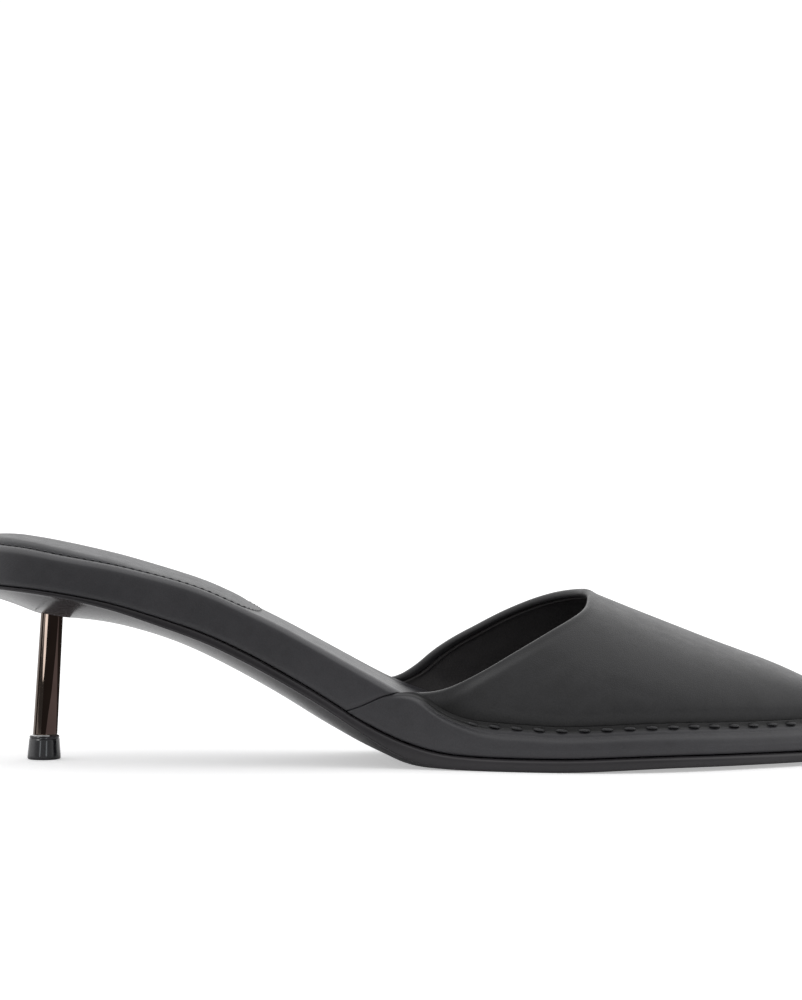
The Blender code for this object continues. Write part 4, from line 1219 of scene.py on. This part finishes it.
def plane(name, size, location, material, rotation=(0, 0, 0)):
    mesh = bpy.data.meshes.new(name)
    w, h = size[0] / 2, size[1] / 2
    mesh.from_pydata([(-w, -h, 0), (w, -h, 0), (w, h, 0), (-w, h, 0)], [], [(0, 1, 2, 3)])
    mesh.materials.append(material)
    obj = bpy.data.objects.new(name, mesh)
    obj.location = location
    obj.rotation_euler = rotation
    STAGE.objects.link(obj)
    return obj


def area(name, size, location, target, power, colour=(1, 1, 1)):
    light = bpy.data.lights.new(name, "AREA")
    light.shape = "RECTANGLE"
    light.size, light.size_y = size
    light.energy = power
    light.color = colour
    obj = bpy.data.objects.new(name, light)
    obj.location = location
    obj.rotation_euler = (Vector(target) - Vector(location)).to_track_quat("-Z", "Y").to_euler()
    STAGE.objects.link(obj)
    return obj


def ray_kind(tree, name):
    return tree.nodes.new("ShaderNodeLightPath").outputs[name]


# The floor is pale paper. For every ray but the camera's, its part from a little in front of the shoe onward is painted
# dark, a painted dark surround, so what the shoe mirrors from there is dim; the camera sees the lit paper almost white,
# with an even added glow.
paper = Nodes("pale_floor")
tone = paper.mix(paper.ramp(paper.noise(3.0, 2.0), (0.3, 0.7, 0.0, 1.0)), (0.86, 0.86, 0.865), (0.88, 0.88, 0.885))
axes = paper.add("ShaderNodeSeparateXYZ")
paper.link(paper.coords, axes.inputs[0])
# Mask of the painted dark front, not a real table edge: 0.15 from Y -0.16 forward, 1 from Y -0.06 back.
table = paper.ramp(axes.outputs["Y"], (FRONT_DARK, FRONT_LIT, FRONT_LEVEL, 1.0))
dim = paper.mix(table, (0.0, 0.0, 0.0), tone)
paper.link(paper.mix(ray_kind(paper.tree, "Is Camera Ray"), dim, tone), paper.shader.inputs["Base Color"])
paper.shader.inputs["Roughness"].default_value = 0.9
paper.shader.inputs["Specular IOR Level"].default_value = 0.0
paper.shader.inputs["Emission Color"].default_value = (1.0, 1.0, 1.0, 1.0)
paper.link(paper.maths("MULTIPLY", ray_kind(paper.tree, "Is Camera Ray"), 0.42), paper.shader.inputs["Emission Strength"])
plane("floor", (60.0, 60.0), (0, 0, 0), paper.material)

world = bpy.data.worlds.new("studio")
bpy.context.scene.world = world
world.use_nodes = True
tree = world.node_tree
back = tree.nodes["Background"]
coords = tree.nodes.new("ShaderNodeTexCoord")
split = tree.nodes.new("ShaderNodeSeparateXYZ")
tree.links.new(coords.outputs["Generated"], split.inputs[0])
# The soft box of the sky: dim in front, brightest high behind the shoe.
fade = tree.nodes.new("ShaderNodeFloatCurve")
curve = fade.mapping.curves[0]
for place, level in SKY[1:-1]:
    curve.points.new((place + 1) / 2, level / 2.5)
for point, (place, level) in zip((curve.points[0], curve.points[-1]), (SKY[0], SKY[-1])):
    point.location = ((place + 1) / 2, level / 2.5)
fade.mapping.update()
shift = tree.nodes.new("ShaderNodeMapRange")
shift.inputs["From Min"].default_value = -1.0
tree.links.new(split.outputs["Y"], shift.inputs["Value"])
tree.links.new(shift.outputs["Result"], fade.inputs["Value"])
gain = tree.nodes.new("ShaderNodeMath")
gain.operation = "MULTIPLY"
gain.inputs[1].default_value = 2.5
tree.links.new(fade.outputs["Value"], gain.inputs[0])
tree.links.new(gain.outputs[0], back.inputs["Strength"])
back.inputs["Color"].default_value = (1.0, 1.0, 1.0, 1.0)
# The studio's white surround as the camera sees it.
seen = tree.nodes.new("ShaderNodeBackground")
seen.inputs["Color"].default_value = (1.0, 1.0, 1.0, 1.0)
seen.inputs["Strength"].default_value = 1.05
pick = tree.nodes.new("ShaderNodeMixShader")
tree.links.new(ray_kind(tree, "Is Camera Ray"), pick.inputs[0])
tree.links.new(back.outputs[0], pick.inputs[1])
tree.links.new(seen.outputs[0], pick.inputs[2])
tree.links.new(pick.outputs[0], tree.nodes["World Output"].inputs["Surface"])

area("top_soft", (1.9, 0.75), (0.0, 1.05, 0.72), (0.0, 0.0, 0.02), TOP_POWER)

# A slim strip beside the heel, for the pin alone.
heel_only = bpy.data.collections.new("heel_only")
for piece in ("heel_tube", "heel_tip"):
    heel_only.objects.link(bpy.data.objects[piece])
strip = area("pin_strip", (0.034, 0.034), (-0.146, -0.040, 0.041), (-0.1066, 0.0, 0.038), 0.0125)
strip.data.shape = "ELLIPSE"
strip.data.size, strip.data.size_y = 0.030, 0.040
strip.light_linking.receiver_collection = heel_only


# Small cards beside the pin, as a studio sets for a mirror: only reflections see them.
def glow(name, colour, strength):
    n = Nodes(name)
    n.put(n.shader, Base_Color=(0.0, 0.0, 0.0, 1.0))
    n.shader.inputs["Specular IOR Level"].default_value = 0.0
    n.shader.inputs["Emission Color"].default_value = (*colour, 1.0)
    n.link(n.ramp(n.noise(60.0, 2.0), (0.3, 0.7, 0.9 * strength, 1.1 * strength)), n.shader.inputs["Emission Strength"])
    return n.material


def card(name, turn, heights, radius, material):
    """Upright curved card round the pin; turn gives its two azimuths at each height, where 0
    faces the front (-Y) and 90 the toe (+X)."""
    points, faces = [], []
    across = 16
    for z, (a0, a1) in zip(heights, turn):
        cx, cy = PIN_FOOT + PIN_LEAN * z, 0.0
        for k in range(across + 1):
            a = math.radians(a0 + (a1 - a0) * k / across)
            points.append((cx + radius * math.sin(a), cy - radius * math.cos(a), z))
    faces = grid_faces(len(heights), across + 1)
    mesh = bpy.data.meshes.new(name)
    mesh.from_pydata([tuple(q) for q in in_frame(points)], [], faces)
    mesh.materials.append(material)
    obj = bpy.data.objects.new(name, mesh)
    STAGE.objects.link(obj)
    obj.visible_camera = obj.visible_diffuse = obj.visible_shadow = obj.visible_transmission = False
    obj.visible_volume_scatter = False
    return obj


levels = [6.6, 13.0, 19.0, 25.0, 31.0, 37.0, 41.8]
card("pin_card_dark", [(-22, 172)] * 7, levels, 5.2, glow("card_dark", (1.0, 0.86, 0.82), 0.065))
card("pin_card_edge", [(-76, -60)] * 7, levels, 5.3, glow("card_edge", (1.0, 0.9, 0.9), 0.06))
for turn in (-16.0, 17.0):
    card("lift_card_%s" % ("left" if turn < 0 else "right"), [(turn - 3.0, turn + 3.0)] * 2, [1.2, 6.2], 8.0,
         glow("card_lift_%s" % ("left" if turn < 0 else "right"), (0.92, 0.97, 1.0), 2.2))
card("pin_card_pale", [(8, 94), (18, 87), (32, 79), (40, 72), (48, 66), (54, 63), (57, 61)], levels, 5.0,
     glow("card_pale", (1.0, 0.86, 0.90), 0.36))
camera = bpy.data.cameras.new("camera")
camera.sensor_fit = "VERTICAL"
camera.sensor_width = 36.0
camera.sensor_height = 36.0
camera.lens = 3510 * 36.0 / 1000
camera.clip_start, camera.clip_end = 0.01, 100.0
cam = bpy.data.objects.new("camera", camera)
cam.location = (-0.00595, -1.0, 0.100)
cam.rotation_euler = (math.radians(90) - math.atan(91.7 / 3510), 0.0, 0.0)
bpy.context.scene.collection.objects.link(cam)
bpy.context.scene.camera = cam
bpy.context.scene.view_settings.view_transform = "Standard"
bpy.context.scene.view_settings.look = "None"
